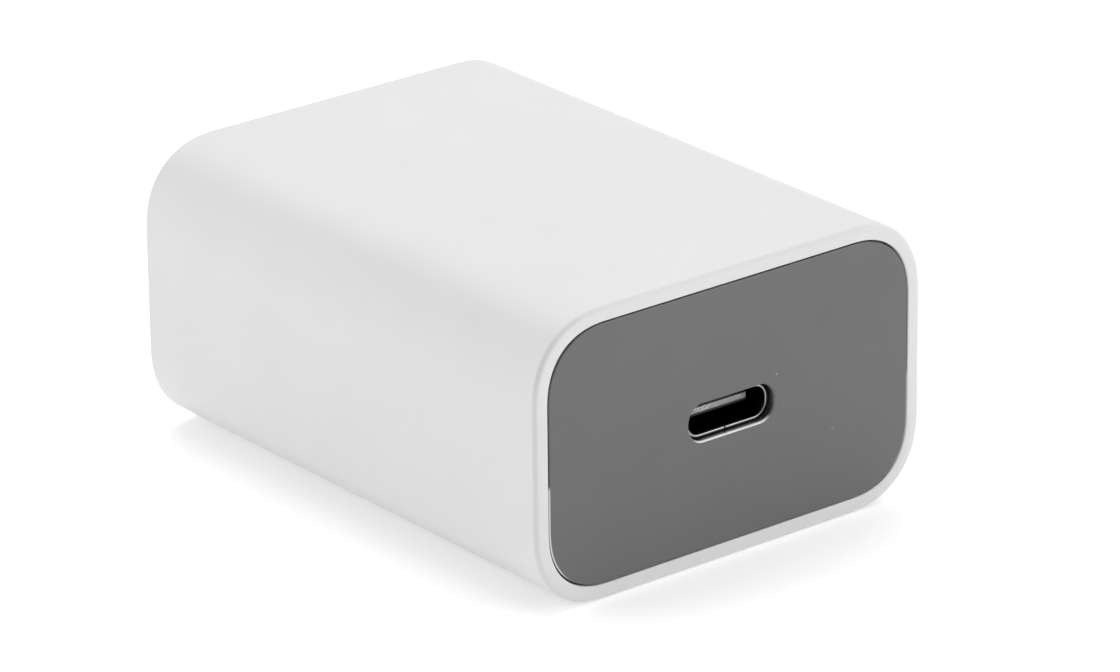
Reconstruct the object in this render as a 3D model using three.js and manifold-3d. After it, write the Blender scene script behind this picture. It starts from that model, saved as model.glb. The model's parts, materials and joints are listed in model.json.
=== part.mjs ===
// A small wall charger with one reversible socket at the front and folding flat blades at the back.
//
// The housing is a sleeve of rounded rectangular section. A grey front plate closes one end and carries the
// socket's opening. A rear cover closes the other end and holds a rotor with two blades, which fold into
// slots in the cover. Boards, transformer, capacitors and chips fill the space between.
//
// Millimetres. +X is the width, +Y runs from the socket end to the plug end, +Z is up. The charger lies on
// its wide side, and the origin is the middle of the face that it lies on.

import * as THREE from "three";
import { mergeVertices } from "three/addons/utils/BufferGeometryUtils.js";
import Module from "manifold-3d";

const wasm = await Module();
wasm.setup();

// ---------- Driving dimensions ----------

const WIDTH = 41.6;
const HEIGHT = 25.9;
const LENGTH = 53.8;
const CORNER_RADIUS = 7.6;
const CORNER_POWER = 2.28; // 2 is a circular arc; a little more fills the corner out
const FRONT_EDGE = 0.45;
const REAR_EDGE = 0.4;
const WALL = 1.9;
const RIM = 1.5; // from the outside of the sleeve to the edge of either end cover
const COVER_GAP = 0.1;

const PLATE_RECESS = 0;
const PLATE_THICK = 1.2;
const COVER_THICK = 1.6;
const SKIRT_INSET = WALL + 0.15;
const SKIRT_WALL = 1.0;
const SKIRT_LENGTH = 4.0;
const SNAP_X = 8;

const SOCKET_OPENING = { width: 9.16, height: 3.4, radius: 1.6, rise: -0.1 };
const SHELL_OUTER = { width: 8.94, height: 3.26, radius: 1.6 };
const SHELL_INNER = { width: 8.34, height: 2.56, radius: 1.26 };
const SHELL_SETBACK = 0.65; // from the plate's face to the lip of the shell
const SHELL_LENGTH = 6.4;
const TONGUE = { width: 6.69, thick: 0.7, setback: 2.1, base: 1.7 };

const FRONT = -LENGTH / 2;
const REAR = LENGTH / 2;
const PLATE_FACE = FRONT + PLATE_RECESS;
const SHELL_LIP = PLATE_FACE + SHELL_SETBACK;

// The plug: two flat blades on a rotor that turns about a line along Z.
const AXIS_X = 8.4;
const AXIS_DEPTH = 3.4;
const AXIS_Y = REAR - AXIS_DEPTH;
const BLADE_SPACING = 12.7;
const BLADE = { width: 6.3, thick: 1.5, reach: AXIS_DEPTH + 17, hole: 1.6, holeAt: AXIS_DEPTH + 11.9 };
const NECK_WIDTH = 3.4;
const TAIL_REACH = 4.7;
const ROTOR = { half: 3.3, length: 17.2, sharpCorner: 0.5, roundCorner: 2.3 };
const STUB = { radius: 1.5, length: 1.3 };
const BEARING_GAP = 0.06;
const POCKET_HALF = 4.1;
const SLOT = { gap: 0.45, depth: 6.9 };
const BAY_DEPTH = 8.3;
const BAY_HALF_HEIGHT = 10.7;
const SCOOP = { radius: 8, depth: 2.6, halfHeight: 9.3 };
const BRACKET = { from: 8.5, to: 9.7 };
const SCREWS_X = [AXIS_X - 7.6, AXIS_X + 7.6];
const PILOT_RADIUS = 0.75;

// The boards.
const BOARD = { halfWidth: 17.4, front: -18.3, rear: 16.6, top: -7.2, thick: 1.2 };
const PORT_BOARD = {
  halfWidth: 13,
  bottom: -9.6,
  top: 7.4,
  front: SHELL_LIP + SHELL_LENGTH + 0.05,
  thick: 1.0,
};
const TABS_X = [-9, 9];
const LEAF_STANDS = { live: BOARD.rear - 2.8, neutral: BOARD.rear - 1.2 };
const SEAT = 0.1; // between a board and what is soldered to it

const CORNER_STEPS = 8;
const ROUND_STEPS = 24;

// ---------- Materials ----------

function finish(color, roughness, metalness = 0) {
  return new THREE.MeshStandardMaterial({ color, roughness, metalness });
}

const whitePlastic = finish("#ebebe9", 0.38);
const greyPlastic = finish("#77787a", 0.5);
const blackPlastic = finish("#1c1d1f", 0.5);
const palePlastic = finish("#adadab", 0.45);
const steel = finish("#b9babb", 0.25, 1);
const nickel = finish("#c9c5ba", 0.22, 1);
const springBronze = finish("#b98d56", 0.3, 1);
const aluminium = finish("#b4b7ba", 0.35, 1);
const boardGreen = finish("#1d5b3a", 0.45);
const chipEpoxy = finish("#17181a", 0.55);
const ferrite = finish("#3a3b3e", 0.7);
const copper = finish("#a85f31", 0.35, 1);
const yellowTape = finish("#d8a92a", 0.4);
const capacitorSleeve = finish("#20242c", 0.35);
const polymerCan = finish("#c2c4c6", 0.3, 1);
const filmBox = finish("#c9b13c", 0.45);
const discBlue = finish("#2f66b5", 0.4);
const fuseBody = finish("#5c3b2a", 0.5);
const filmSheet = finish("#e7e3d2", 0.3);
const gapPad = finish("#8f9aa3", 0.8);

// ---------- Shapes ----------

// A closed mesh as a solid that can be cut and joined.
function solidOf(geometry) {
  const bare = geometry.index ? geometry.toNonIndexed() : geometry.clone();
  bare.deleteAttribute("normal");
  bare.deleteAttribute("uv");
  const merged = mergeVertices(bare, 1e-4);
  return new wasm.Manifold(
    new wasm.Mesh({
      numProp: 3,
      vertProperties: merged.attributes.position.array,
      triVerts: Uint32Array.from(merged.index.array),
    }),
  );
}

function geometryOf(solid) {
  const { vertProperties, triVerts } = solid.getMesh();
  const indexed = new THREE.BufferGeometry();
  indexed.setAttribute("position", new THREE.BufferAttribute(Float32Array.from(vertProperties), 3));
  indexed.setIndex(new THREE.BufferAttribute(Uint32Array.from(triVerts), 1));
  const flat = indexed.toNonIndexed();
  flat.computeVertexNormals();
  return flat;
}

const joined = (first, ...others) => others.reduce((sum, next) => sum.add(next), first);
const cut = (first, ...tools) => tools.reduce((rest, tool) => rest.subtract(tool), first);
const inward = (depth) => REAR - depth; // a place given by its depth below the rear face
const ordered = (a, b) => [Math.min(a, b), Math.max(a, b)];

// A rounded rectangle about the origin. The corners are superellipse quarters.
function roundedOutline({ width, height, radius, power = 2, steps = CORNER_STEPS }) {
  const points = [];
  const quarters = [[1, 1], [-1, 1], [-1, -1], [1, -1]];
  quarters.forEach(([sideX, sideY], quarter) => {
    for (let i = 0; i <= steps; i += 1) {
      const angle = ((quarter + i / steps) * Math.PI) / 2;
      const reach = (value) => radius * Math.sign(value) * Math.abs(value) ** (2 / power);
      points.push(
        new THREE.Vector2(
          sideX * (width / 2 - radius) + reach(Math.cos(angle)),
          sideY * (height / 2 - radius) + reach(Math.sin(angle)),
        ),
      );
    }
  });
  return points;
}

// The housing's section, moved inwards.
const section = (inset) =>
  roundedOutline({
    width: WIDTH - 2 * inset,
    height: HEIGHT - 2 * inset,
    radius: CORNER_RADIUS - inset,
    power: CORNER_POWER,
  });

// A shape drawn in X and Z, run along Y between two places, with rounded edges at both ends.
function alongY(outline, from, to, edge = 0, segments = 3) {
  const geometry = new THREE.ExtrudeGeometry(new THREE.Shape(outline), {
    depth: to - from - 2 * edge,
    bevelEnabled: edge > 0,
    bevelThickness: edge,
    bevelSize: edge,
    bevelOffset: -edge,
    bevelSegments: segments,
  });
  return geometry.rotateX(Math.PI / 2).translate(0, to - edge, 0);
}

// A shape drawn in Y and Z, run along X about the middle.
function alongX(outline, width) {
  const geometry = new THREE.ExtrudeGeometry(new THREE.Shape(outline), { depth: width, bevelEnabled: false });
  const basis = new THREE.Matrix4().makeBasis(
    new THREE.Vector3(0, 1, 0),
    new THREE.Vector3(0, 0, 1),
    new THREE.Vector3(1, 0, 0),
  );
  return geometry.translate(0, 0, -width / 2).applyMatrix4(basis);
}

// A shape drawn in X and Y, run along Z about the middle.
function alongZ(shape, height, edge = 0) {
  const geometry = new THREE.ExtrudeGeometry(shape, {
    depth: height - 2 * edge,
    bevelEnabled: edge > 0,
    bevelThickness: edge,
    bevelSize: edge,
    bevelOffset: -edge,
    bevelSegments: 1,
    curveSegments: CORNER_STEPS,
  });
  return geometry.translate(0, 0, edge - height / 2);
}

function box(fromX, toX, fromY, toY, fromZ, toZ) {
  return new THREE.BoxGeometry(toX - fromX, toY - fromY, toZ - fromZ).translate(
    (fromX + toX) / 2,
    (fromY + toY) / 2,
    (fromZ + toZ) / 2,
  );
}

const solidBox = (...sides) => solidOf(box(...sides));

function rodAlongZ(radius, x, y, fromZ, toZ, steps = ROUND_STEPS) {
  const rod = new THREE.CylinderGeometry(radius, radius, toZ - fromZ, steps).rotateX(Math.PI / 2);
  return solidOf(rod.translate(x, y, (fromZ + toZ) / 2));
}

function rodAlongY(radius, x, z, fromY, toY, steps = ROUND_STEPS) {
  const rod = new THREE.CylinderGeometry(radius, radius, toY - fromY, steps);
  return solidOf(rod.translate(x, (fromY + toY) / 2, z));
}

// A line through corners that are rounded over a given reach.
function bentLine(corners, reach) {
  const points = corners.map(([x, y]) => new THREE.Vector2(x, y));
  const path = new THREE.Path();
  path.moveTo(...points[0]);
  for (let i = 1; i < points.length - 1; i += 1) {
    const corner = points[i];
    const towards = (other) => other.clone().sub(corner).setLength(reach).add(corner);
    path.lineTo(...towards(points[i - 1]));
    path.quadraticCurveTo(...corner, ...towards(points[i + 1]));
  }
  path.lineTo(...points[points.length - 1]);
  return path.getPoints(5);
}

// The outline of a bent strip of even thickness that follows a line.
function stripOutline(line, thickness) {
  const direction = (from, to) => to.clone().sub(from).normalize();
  const sideOf = (sign) =>
    line.map((point, i) => {
      const along = new THREE.Vector2();
      if (i > 0) along.add(direction(line[i - 1], point));
      if (i < line.length - 1) along.add(direction(point, line[i + 1]));
      along.normalize();
      return new THREE.Vector2(-along.y, along.x).multiplyScalar((sign * thickness) / 2).add(point);
    });
  return [...sideOf(-1), ...sideOf(1).reverse()];
}

const housing = new THREE.Group();
housing.position.z = HEIGHT / 2; // the pieces below are placed about the middle of the section

function piece(name, geometry, material, parent = housing) {
  const mesh = new THREE.Mesh(geometry, material);
  mesh.name = name;
  parent.add(mesh);
  return mesh;
}

const pieceOf = (name, solid, material, parent) => piece(name, geometryOf(solid), material, parent);

// ---------- Housing ----------

// Both end covers click into grooves in the sleeve with four wedges on their skirts.
function snapWedges(y, facing) {
  const reach = HEIGHT / 2 - SKIRT_INSET;
  const wedge = (side) => [
    new THREE.Vector2(y - facing * 0.5, side * (reach - 0.3)),
    new THREE.Vector2(y - facing * 0.5, side * reach),
    new THREE.Vector2(y + facing * 0.4, side * (reach + 0.4)),
    new THREE.Vector2(y + facing * 0.4, side * (reach - 0.3)),
  ];
  const wedges = [];
  for (const side of [-1, 1]) {
    const outline = side * facing < 0 ? wedge(side) : wedge(side).reverse();
    for (const x of [-SNAP_X, SNAP_X]) {
      wedges.push(solidOf(alongX(outline, 5).translate(x, 0, 0)));
    }
  }
  return wedges;
}

function snapGrooves(y) {
  const wall = HEIGHT / 2 - WALL;
  const grooves = [];
  for (const side of [-1, 1]) {
    const depth = ordered(side * (wall - 0.4), side * (wall + 0.5));
    for (const x of [-SNAP_X, SNAP_X]) {
      grooves.push(solidBox(x - 2.8, x + 2.8, y - 0.8, y + 0.8, ...depth));
    }
  }
  return grooves;
}

const FRONT_SNAP_Y = PLATE_FACE + PLATE_THICK + 2.6;
const REAR_SNAP_Y = REAR - COVER_THICK - 2.6;

function makeSleeve() {
  const spare = 4;
  const frontRounded = solidOf(alongY(section(0), FRONT, REAR + spare, FRONT_EDGE));
  const rearRounded = solidOf(alongY(section(0), FRONT - spare, REAR, REAR_EDGE));
  const bore = solidOf(alongY(section(WALL), FRONT - 1, REAR + 1));
  const pocket = section(RIM - COVER_GAP);
  const frontPocket = solidOf(alongY(pocket, FRONT - 1, PLATE_FACE + PLATE_THICK + COVER_GAP));
  const rearPocket = solidOf(alongY(pocket, REAR - COVER_THICK - COVER_GAP, REAR + 1));
  let sleeve = cut(frontRounded.intersect(rearRounded), bore, frontPocket, rearPocket);
  sleeve = cut(sleeve, ...snapGrooves(FRONT_SNAP_Y), ...snapGrooves(REAR_SNAP_Y));

  // Four ledges that the main board lies on.
  const ledgeTop = BOARD.top - BOARD.thick - SEAT;
  const outer = solidOf(alongY(section(WALL / 2), FRONT + 5, REAR - 5));
  for (const side of [-1, 1]) {
    for (const y of [-17.3, 12.2]) {
      const ledge = solidBox(...ordered(side * 15.6, side * 19), y, y + 3.2, ledgeTop - 1.1, ledgeTop);
      sleeve = sleeve.add(ledge.intersect(outer));
    }
  }
  pieceOf("sleeve", sleeve, whitePlastic);
}

// A plate that fills the end of the sleeve, with a skirt that reaches into the bore.
function endCover(face, thickness, inwardSign, edge) {
  const back = face + inwardSign * thickness;
  const skirtEnd = back + inwardSign * SKIRT_LENGTH;
  const plate = solidOf(alongY(section(RIM), ...ordered(face, back), edge, 2));
  const overlap = back - inwardSign * 0.2;
  const ring = solidOf(alongY(section(SKIRT_INSET), ...ordered(overlap, skirtEnd)));
  const hollow = solidOf(alongY(section(SKIRT_INSET + SKIRT_WALL), ...ordered(back, skirtEnd + inwardSign)));
  return plate.add(ring.subtract(hollow));
}

function rise(outline, z) {
  return outline.map((point) => new THREE.Vector2(point.x, point.y + z));
}

function makeFrontPlate() {
  const opening = rise(roundedOutline(SOCKET_OPENING), SOCKET_OPENING.rise);
  const collar = rise(roundedOutline({ width: 11.8, height: 6.1, radius: 2.9 }), SOCKET_OPENING.rise);
  const back = PLATE_FACE + PLATE_THICK;
  let plate = endCover(PLATE_FACE, PLATE_THICK, 1, 0.12);
  plate = joined(plate, ...snapWedges(FRONT_SNAP_Y, -1));
  plate = plate.add(solidOf(alongY(collar, back - 0.2, back + 2)));
  plate = cut(plate, solidOf(alongY(opening, PLATE_FACE - 1, back + 3)));
  pieceOf("front_plate", plate, greyPlastic);
}

// ---------- Socket ----------

function makeSocket() {
  const z = SOCKET_OPENING.rise;
  const shellEnd = SHELL_LIP + SHELL_LENGTH;
  const outside = solidOf(alongY(rise(roundedOutline(SHELL_OUTER), z), SHELL_LIP, shellEnd, 0.08, 1));
  const inside = solidOf(alongY(rise(roundedOutline(SHELL_INNER), z), SHELL_LIP - 1, shellEnd + 1));
  let shell = outside.subtract(inside);
  const wallMiddle = (SHELL_OUTER.height + SHELL_INNER.height) / 4;
  for (const x of [-2.9, 2.9]) {
    for (const side of [-1, 1]) {
      const legZ = z + side * wallMiddle;
      const leg = solidBox(x - 0.6, x + 0.6, shellEnd - 0.6, shellEnd + 1.9, legZ - 0.14, legZ + 0.14);
      shell = shell.add(leg);
    }
  }
  pieceOf("port_shell", shell, steel);

  const gap = 0.1;
  const baseFrom = shellEnd - TONGUE.base;
  const base = roundedOutline({
    width: SHELL_INNER.width - 2 * gap,
    height: SHELL_INNER.height - 2 * gap,
    radius: SHELL_INNER.radius - gap,
  });
  const plug = solidOf(alongY(rise(base, z), baseFrom, shellEnd));
  const thin = roundedOutline({ width: TONGUE.width, height: TONGUE.thick, radius: 0.12, steps: 2 });
  const tip = PLATE_FACE + TONGUE.setback;
  const tongue = plug.add(solidOf(alongY(rise(thin, z), tip, baseFrom + 0.3, 0.1, 1)));
  pieceOf("port_tongue", tongue, palePlastic);
}

// ---------- Folding plug ----------

// One corner of the rotor is nearly sharp, because it only swings outside the cover. The others are round.
function rotorShape() {
  const { half, sharpCorner, roundCorner } = ROTOR;
  const corners = [
    [1, 1, roundCorner],
    [-1, 1, sharpCorner],
    [-1, -1, roundCorner],
    [1, -1, roundCorner],
  ];
  const shape = new THREE.Shape();
  corners.forEach(([sideX, sideY, radius], quarter) => {
    const start = (quarter * Math.PI) / 2;
    shape.absarc(sideX * (half - radius), sideY * (half - radius), radius, start, start + Math.PI / 2, false);
  });
  shape.closePath();
  return shape;
}

// The blades point along -X from the rotor's axis while they are folded, and their tails along +X.
function bladeShape() {
  const { width, reach, hole, holeAt } = BLADE;
  const shoulder = ROTOR.half + 0.1;
  const tipCorner = 1.4;
  const tailHalfAngle = Math.asin(NECK_WIDTH / 2 / TAIL_REACH);
  const shape = new THREE.Shape();
  shape.moveTo(-shoulder, -width / 2);
  shape.lineTo(-shoulder, -NECK_WIDTH / 2);
  shape.absarc(0, 0, TAIL_REACH, -tailHalfAngle, tailHalfAngle, false);
  shape.lineTo(-shoulder, NECK_WIDTH / 2);
  shape.lineTo(-shoulder, width / 2);
  shape.absarc(tipCorner - reach, width / 2 - tipCorner, tipCorner, Math.PI / 2, Math.PI, false);
  shape.absarc(tipCorner - reach, tipCorner - width / 2, tipCorner, Math.PI, Math.PI * 1.5, false);
  const eye = new THREE.Path();
  eye.absarc(-holeAt, 0, hole, 0, Math.PI * 2, true);
  shape.holes.push(eye);
  return shape;
}

function makePlug() {
  const plug = new THREE.Group();
  plug.position.set(AXIS_X, AXIS_Y, 0);
  housing.add(plug);

  const halfLength = ROTOR.length / 2;
  const stubEnd = halfLength + STUB.length;
  let rotor = solidOf(alongZ(rotorShape(), ROTOR.length, 0.15));
  rotor = rotor.add(rodAlongZ(STUB.radius, 0, 0, -stubEnd, stubEnd));
  const slotHalf = NECK_WIDTH / 2 + 0.05;
  for (const side of [-1, 1]) {
    const z = (side * BLADE_SPACING) / 2;
    const reach = BLADE.thick / 2 + 0.05;
    rotor = cut(rotor, solidBox(-6, 6, -slotHalf, slotHalf, z - reach, z + reach));
  }
  pieceOf("plug_rotor", rotor, whitePlastic, plug);

  for (const [name, side] of [["blade_lower", -1], ["blade_upper", 1]]) {
    const blade = piece(name, alongZ(bladeShape(), BLADE.thick, 0.2), nickel, plug);
    blade.position.z = (side * BLADE_SPACING) / 2;
  }
}

function makeRearCover() {
  const tipX = AXIS_X - BLADE.reach;
  const slotEnd = tipX - 0.5;
  const inside = 1; // how far a cutting shape runs past the face that it opens
  let cover = endCover(REAR, COVER_THICK, -1, 0.12);
  cover = joined(cover, ...snapWedges(REAR_SNAP_Y, 1));

  // The block that holds the rotor's pocket, the blade slots and the screw posts.
  const blockFrom = inward(BAY_DEPTH);
  const blockTo = inward(COVER_THICK - 0.2);
  const tall = BAY_HALF_HEIGHT;
  cover = joined(
    cover,
    solidBox(slotEnd - 1.2, AXIS_X + 6.2, blockFrom, blockTo, -tall, tall),
    rodAlongY(2, SCREWS_X[1], 0, blockFrom, blockTo, 16),
  );

  const pocketEnd = ROTOR.length / 2 + 0.2;
  const pocketSides = [AXIS_X - POCKET_HALF, AXIS_X + POCKET_HALF];
  cover = cut(cover, solidBox(...pocketSides, blockFrom - inside, REAR + inside, -pocketEnd, pocketEnd));

  for (const side of [-1, 1]) {
    const z = (side * BLADE_SPACING) / 2;
    const reach = BLADE.thick / 2 + SLOT.gap / 2;
    const hollow = ordered(side * 8.3, side * 9.9);
    cover = cut(
      cover,
      // the blade's slot, and the room that its tail sweeps
      solidBox(slotEnd, AXIS_X, inward(SLOT.depth), REAR + inside, z - reach, z + reach),
      solidBox(AXIS_X, AXIS_X + TAIL_REACH + 0.4, blockFrom - inside, inward(1.6), z - reach, z + reach),
      // hollow behind the wall between the slot and the bay's end
      solidBox(slotEnd, AXIS_X - 8, blockFrom - inside, inward(5.2), ...hollow),
    );

    // the bearing: a channel from the inside that ends in a half circle
    const ends = ordered(side * (pocketEnd - 0.1), side * (ROTOR.length / 2 + STUB.length + 0.2));
    const radius = STUB.radius + BEARING_GAP;
    cover = cut(
      cover,
      rodAlongZ(radius, AXIS_X, AXIS_Y, ...ends),
      solidBox(AXIS_X - radius, AXIS_X + radius, blockFrom - inside, AXIS_Y, ...ends),
    );
  }

  // The finger scoop across the blades' tips, and the hollow behind it.
  const scoopX = tipX + 5.2;
  const scoop = rodAlongZ(
    SCOOP.radius,
    scoopX,
    inward(SCOOP.depth - SCOOP.radius),
    -SCOOP.halfHeight,
    SCOOP.halfHeight,
    48,
  );
  cover = cut(
    cover,
    scoop,
    solidBox(slotEnd + 0.2, SCREWS_X[0] - 2.2, blockFrom - inside, inward(4.3), -4.2, 4.2),
    ...SCREWS_X.map((x) => rodAlongY(PILOT_RADIUS, x, 0, blockFrom - inside, inward(3.6), 12)),
  );
  pieceOf("rear_cover", cover, whitePlastic);
}

function makeBracket() {
  const from = inward(BRACKET.to);
  const to = inward(BRACKET.from);
  const ears = 2.7;
  let bracket = joined(
    solidBox(AXIS_X - 5.2, AXIS_X + 6.1, from, to, -10.5, 10.5),
    solidBox(SCREWS_X[0] - ears / 1.5, SCREWS_X[1] + ears / 1.5, from, to, -ears, ears),
  );
  for (const side of [-1, 1]) {
    const ends = ordered(side * 8.95, side * 9.95);
    const post = solidBox(AXIS_X - 1.4, AXIS_X + 1.4, from + 0.2, inward(4), ...ends);
    const bearing = rodAlongZ(STUB.radius + BEARING_GAP, AXIS_X, AXIS_Y, ...ordered(side * 8, side * 11));
    bracket = bracket.add(post.subtract(bearing));
    const z = (side * BLADE_SPACING) / 2;
    bracket = cut(bracket, solidBox(AXIS_X - 2.3, AXIS_X + 2.3, from - 1, to + 1, z - 2.2, z + 2.6));
  }
  bracket = cut(bracket, ...SCREWS_X.map((x) => rodAlongY(0.95, x, 0, from - 1, to + 1, 16)));
  pieceOf("rotor_bracket", bracket, blackPlastic);

  SCREWS_X.forEach((x, i) => {
    const headRadius = 1.7;
    const shankRadius = PILOT_RADIUS - 0.05;
    const profile = [
      [0, -1.1], [1.2, -1.1], [headRadius, -0.6], [headRadius, 0],
      [shankRadius, 0], [shankRadius, 4.2], [0.3, 4.9], [0, 4.9],
    ];
    const turned = new THREE.LatheGeometry(profile.map(([r, y]) => new THREE.Vector2(r, y)), 16);
    const slot = solidBox(-1, 1, -1.2, -0.7, -0.2, 0.2);
    const cross = solidBox(-0.2, 0.2, -1.2, -0.7, -1, 1);
    const name = ["bracket_screw_inner", "bracket_screw_outer"][i];
    pieceOf(name, cut(solidOf(turned), slot, cross), steel).position.set(x, from - 0.05, 0);
  });
}

function makeSprings() {
  // A bowed leaf that the rotor's flat sides click against.
  const crest = AXIS_Y - ROTOR.half - 0.3;
  const seatY = inward(BRACKET.from) + 0.3;
  const crestCorner = crest + 0.25; // rounding takes this off again
  const bow = bentLine(
    [
      [AXIS_X - 3.7, seatY],
      [AXIS_X - 2.2, seatY],
      [AXIS_X, crestCorner],
      [AXIS_X + 2.2, seatY],
      [AXIS_X + 3.7, seatY],
    ],
    1,
  );
  piece("detent_spring", alongZ(new THREE.Shape(stripOutline(bow, 0.3)), 5), steel);

  // Each leaf stands in the board and ends in a hooked tip just behind the tail of its blade.
  const tipY = AXIS_Y - TAIL_REACH - 0.3;
  const leaves = [
    ["live_contact", BLADE_SPACING / 2, LEAF_STANDS.live],
    ["neutral_contact", -BLADE_SPACING / 2, LEAF_STANDS.neutral],
  ];
  leaves.forEach(([name, z, standY]) => {
    const line = bentLine(
      [
        [standY, BOARD.top - BOARD.thick - 1],
        [standY, z + 2.3],
        [tipY - 0.8, z + 2.3],
        [tipY + 0.2, z],
        [tipY - 0.5, z - 1.7],
      ],
      0.7,
    );
    const leaf = piece(name, alongX(stripOutline(line, 0.3), 3), springBronze);
    leaf.position.x = AXIS_X;
  });
}

// ---------- Boards and chips ----------

function makeBoards() {
  const bottom = BOARD.top - BOARD.thick;
  let board = solidBox(-BOARD.halfWidth, BOARD.halfWidth, BOARD.front, BOARD.rear, bottom, BOARD.top);
  const tabFront = PORT_BOARD.front - 0.4;
  for (const x of TABS_X) {
    board = board.add(solidBox(x - 1.5, x + 1.5, tabFront, BOARD.front + 1, bottom, BOARD.top));
  }
  for (const y of Object.values(LEAF_STANDS)) {
    board = cut(board, solidBox(AXIS_X - 1.8, AXIS_X + 1.8, y - 0.4, y + 0.4, bottom - 1, BOARD.top + 1));
  }
  pieceOf("main_board", board, boardGreen);

  const { halfWidth, front, thick } = PORT_BOARD;
  const legGap = 0.25;
  const through = [front - 1, front + thick + 1];
  let upright = solidBox(-halfWidth, halfWidth, front, front + thick, PORT_BOARD.bottom, PORT_BOARD.top);
  for (const x of TABS_X) {
    upright = cut(upright, solidBox(x - 1.6, x + 1.6, ...through, bottom - SEAT, BOARD.top + SEAT));
  }
  const wallMiddle = (SHELL_OUTER.height + SHELL_INNER.height) / 4;
  for (const x of [-2.9, 2.9]) {
    for (const side of [-1, 1]) {
      const z = SOCKET_OPENING.rise + side * wallMiddle;
      const [wide, high] = [0.6 + legGap, 0.14 + legGap];
      upright = cut(upright, solidBox(x - wide, x + wide, ...through, z - high, z + high));
    }
  }
  pieceOf("port_board", upright, boardGreen);
}

// A moulded chip with rows of flat leads on two sides. It lies on its back at z = 0, with the body above.
function chip(bodyX, bodyY, bodyZ, leads, pitch, leadSpan) {
  const stand = 0.15;
  let solid = solidBox(-bodyX / 2, bodyX / 2, -bodyY / 2, bodyY / 2, stand, stand + bodyZ);
  for (let i = 0; i < leads; i += 1) {
    const x = (i - (leads - 1) / 2) * pitch;
    const foot = solidBox(x - pitch / 6, x + pitch / 6, -leadSpan / 2, leadSpan / 2, 0, stand + bodyZ * 0.2);
    solid = solid.add(foot);
  }
  return solid;
}

function makeChips() {
  const under = BOARD.top - BOARD.thick - SEAT;
  const chips = [
    ["bridge_rectifier", [6.2, 4.6, 1.5, 2, 2.5, 6.6], [9.5, 7.5]],
    ["power_switch", [8, 6.6, 1.0, 6, 1.2, 7.6], [-9, 2.5]],
    ["output_rectifier", [4.9, 3.9, 1.4, 4, 1.27, 6], [-7, -10.5]],
    ["optocoupler", [4.6, 4.4, 1.7, 2, 2.54, 7], [4, -7.5]],
  ];
  chips.forEach(([name, size, [x, y]]) => {
    const mesh = pieceOf(name, chip(...size), chipEpoxy);
    mesh.rotation.x = Math.PI;
    mesh.position.set(x, y, under);
  });

  const controller = pieceOf("port_controller", chip(5, 4.4, 0.75, 7, 0.65, 5), chipEpoxy);
  controller.rotation.x = -Math.PI / 2;
  controller.position.set(7.8, PORT_BOARD.front + PORT_BOARD.thick + SEAT, 3.2);
}

// ---------- Transformer ----------

const TRANSFORMER = { x: -8.2, y: -0.6, z: 0.6, width: 17.4, length: 15.8, coreHeight: 6.6 };
const WINDOW = { back: 2.7, sideLeg: 2.5, centreLeg: 5.2 };
const FLANGE = { thick: 0.9, halfHeight: 7.2 };

// The outline of one E-shaped core half in X and Y, its three legs pointing along +Y.
function coreShape() {
  const half = TRANSFORMER.width / 2;
  const legEnd = TRANSFORMER.length / 2 - 0.05;
  const { back, sideLeg, centreLeg } = WINDOW;
  const corners = [
    [-half, 0], [half, 0], [half, legEnd], [half - sideLeg, legEnd], [half - sideLeg, back],
    [centreLeg / 2, back], [centreLeg / 2, legEnd], [-centreLeg / 2, legEnd], [-centreLeg / 2, back],
    [sideLeg - half, back], [sideLeg - half, legEnd], [-half, legEnd],
  ];
  return new THREE.Shape(corners.map(([x, y]) => new THREE.Vector2(x, y)));
}

function makeTransformer() {
  const { x, y, z, width, length, coreHeight } = TRANSFORMER;
  const group = new THREE.Group();
  group.position.set(x, y, z);
  housing.add(group);

  for (const [name, turn] of [["transformer_core_front", 0], ["transformer_core_rear", Math.PI]]) {
    const half = alongZ(coreShape(), coreHeight, 0.15).translate(0, -length / 2, 0).rotateZ(turn);
    piece(name, half, ferrite, group);
  }

  // The bobbin: a tube around the centre leg, a flange at each end, and a foot under each core back.
  const windowWidth = width - 2 * WINDOW.sideLeg;
  const windowLength = length - 2 * WINDOW.back;
  const flangeEnd = windowLength / 2 - 0.15;
  const tube = { half: WINDOW.centreLeg / 2 + 0.15, rise: coreHeight / 2 + 0.15, wall: 0.7 };
  const outerHalf = tube.half + tube.wall;
  const outerRise = tube.rise + tube.wall;
  const flangeHalf = windowWidth / 2 - 0.2;
  let bobbin = solidBox(-outerHalf, outerHalf, -flangeEnd, flangeEnd, -outerRise, outerRise);
  const footBottom = BOARD.top + SEAT - z;
  const footTop = -coreHeight / 2 - 0.15;
  for (const side of [-1, 1]) {
    const flangeStart = side * (flangeEnd - FLANGE.thick);
    const flange = ordered(flangeStart, side * flangeEnd);
    const foot = ordered(flangeStart, (side * length) / 2);
    bobbin = joined(
      bobbin,
      solidBox(-flangeHalf, flangeHalf, ...flange, -FLANGE.halfHeight, FLANGE.halfHeight),
      solidBox(-width / 2, width / 2, ...foot, footBottom, footTop),
    );
  }
  bobbin = cut(bobbin, solidBox(-tube.half, tube.half, -length, length, -tube.rise, tube.rise));
  pieceOf("transformer_bobbin", bobbin, blackPlastic, group);

  // The taped winding between the flanges.
  const windingLength = flangeEnd - FLANGE.thick - 0.1;
  const outside = roundedOutline({
    width: 2 * flangeHalf - 0.4,
    height: 2 * FLANGE.halfHeight - 0.6,
    radius: 2.2,
    steps: 6,
  });
  const winding = cut(
    solidOf(alongY(outside, -windingLength, windingLength)),
    solidBox(-outerHalf - 0.1, outerHalf + 0.1, -length, length, -outerRise - 0.1, outerRise + 0.1),
  );
  pieceOf("transformer_winding", winding, yellowTape, group);
}

// ---------- Capacitors, choke and fuse ----------

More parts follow.
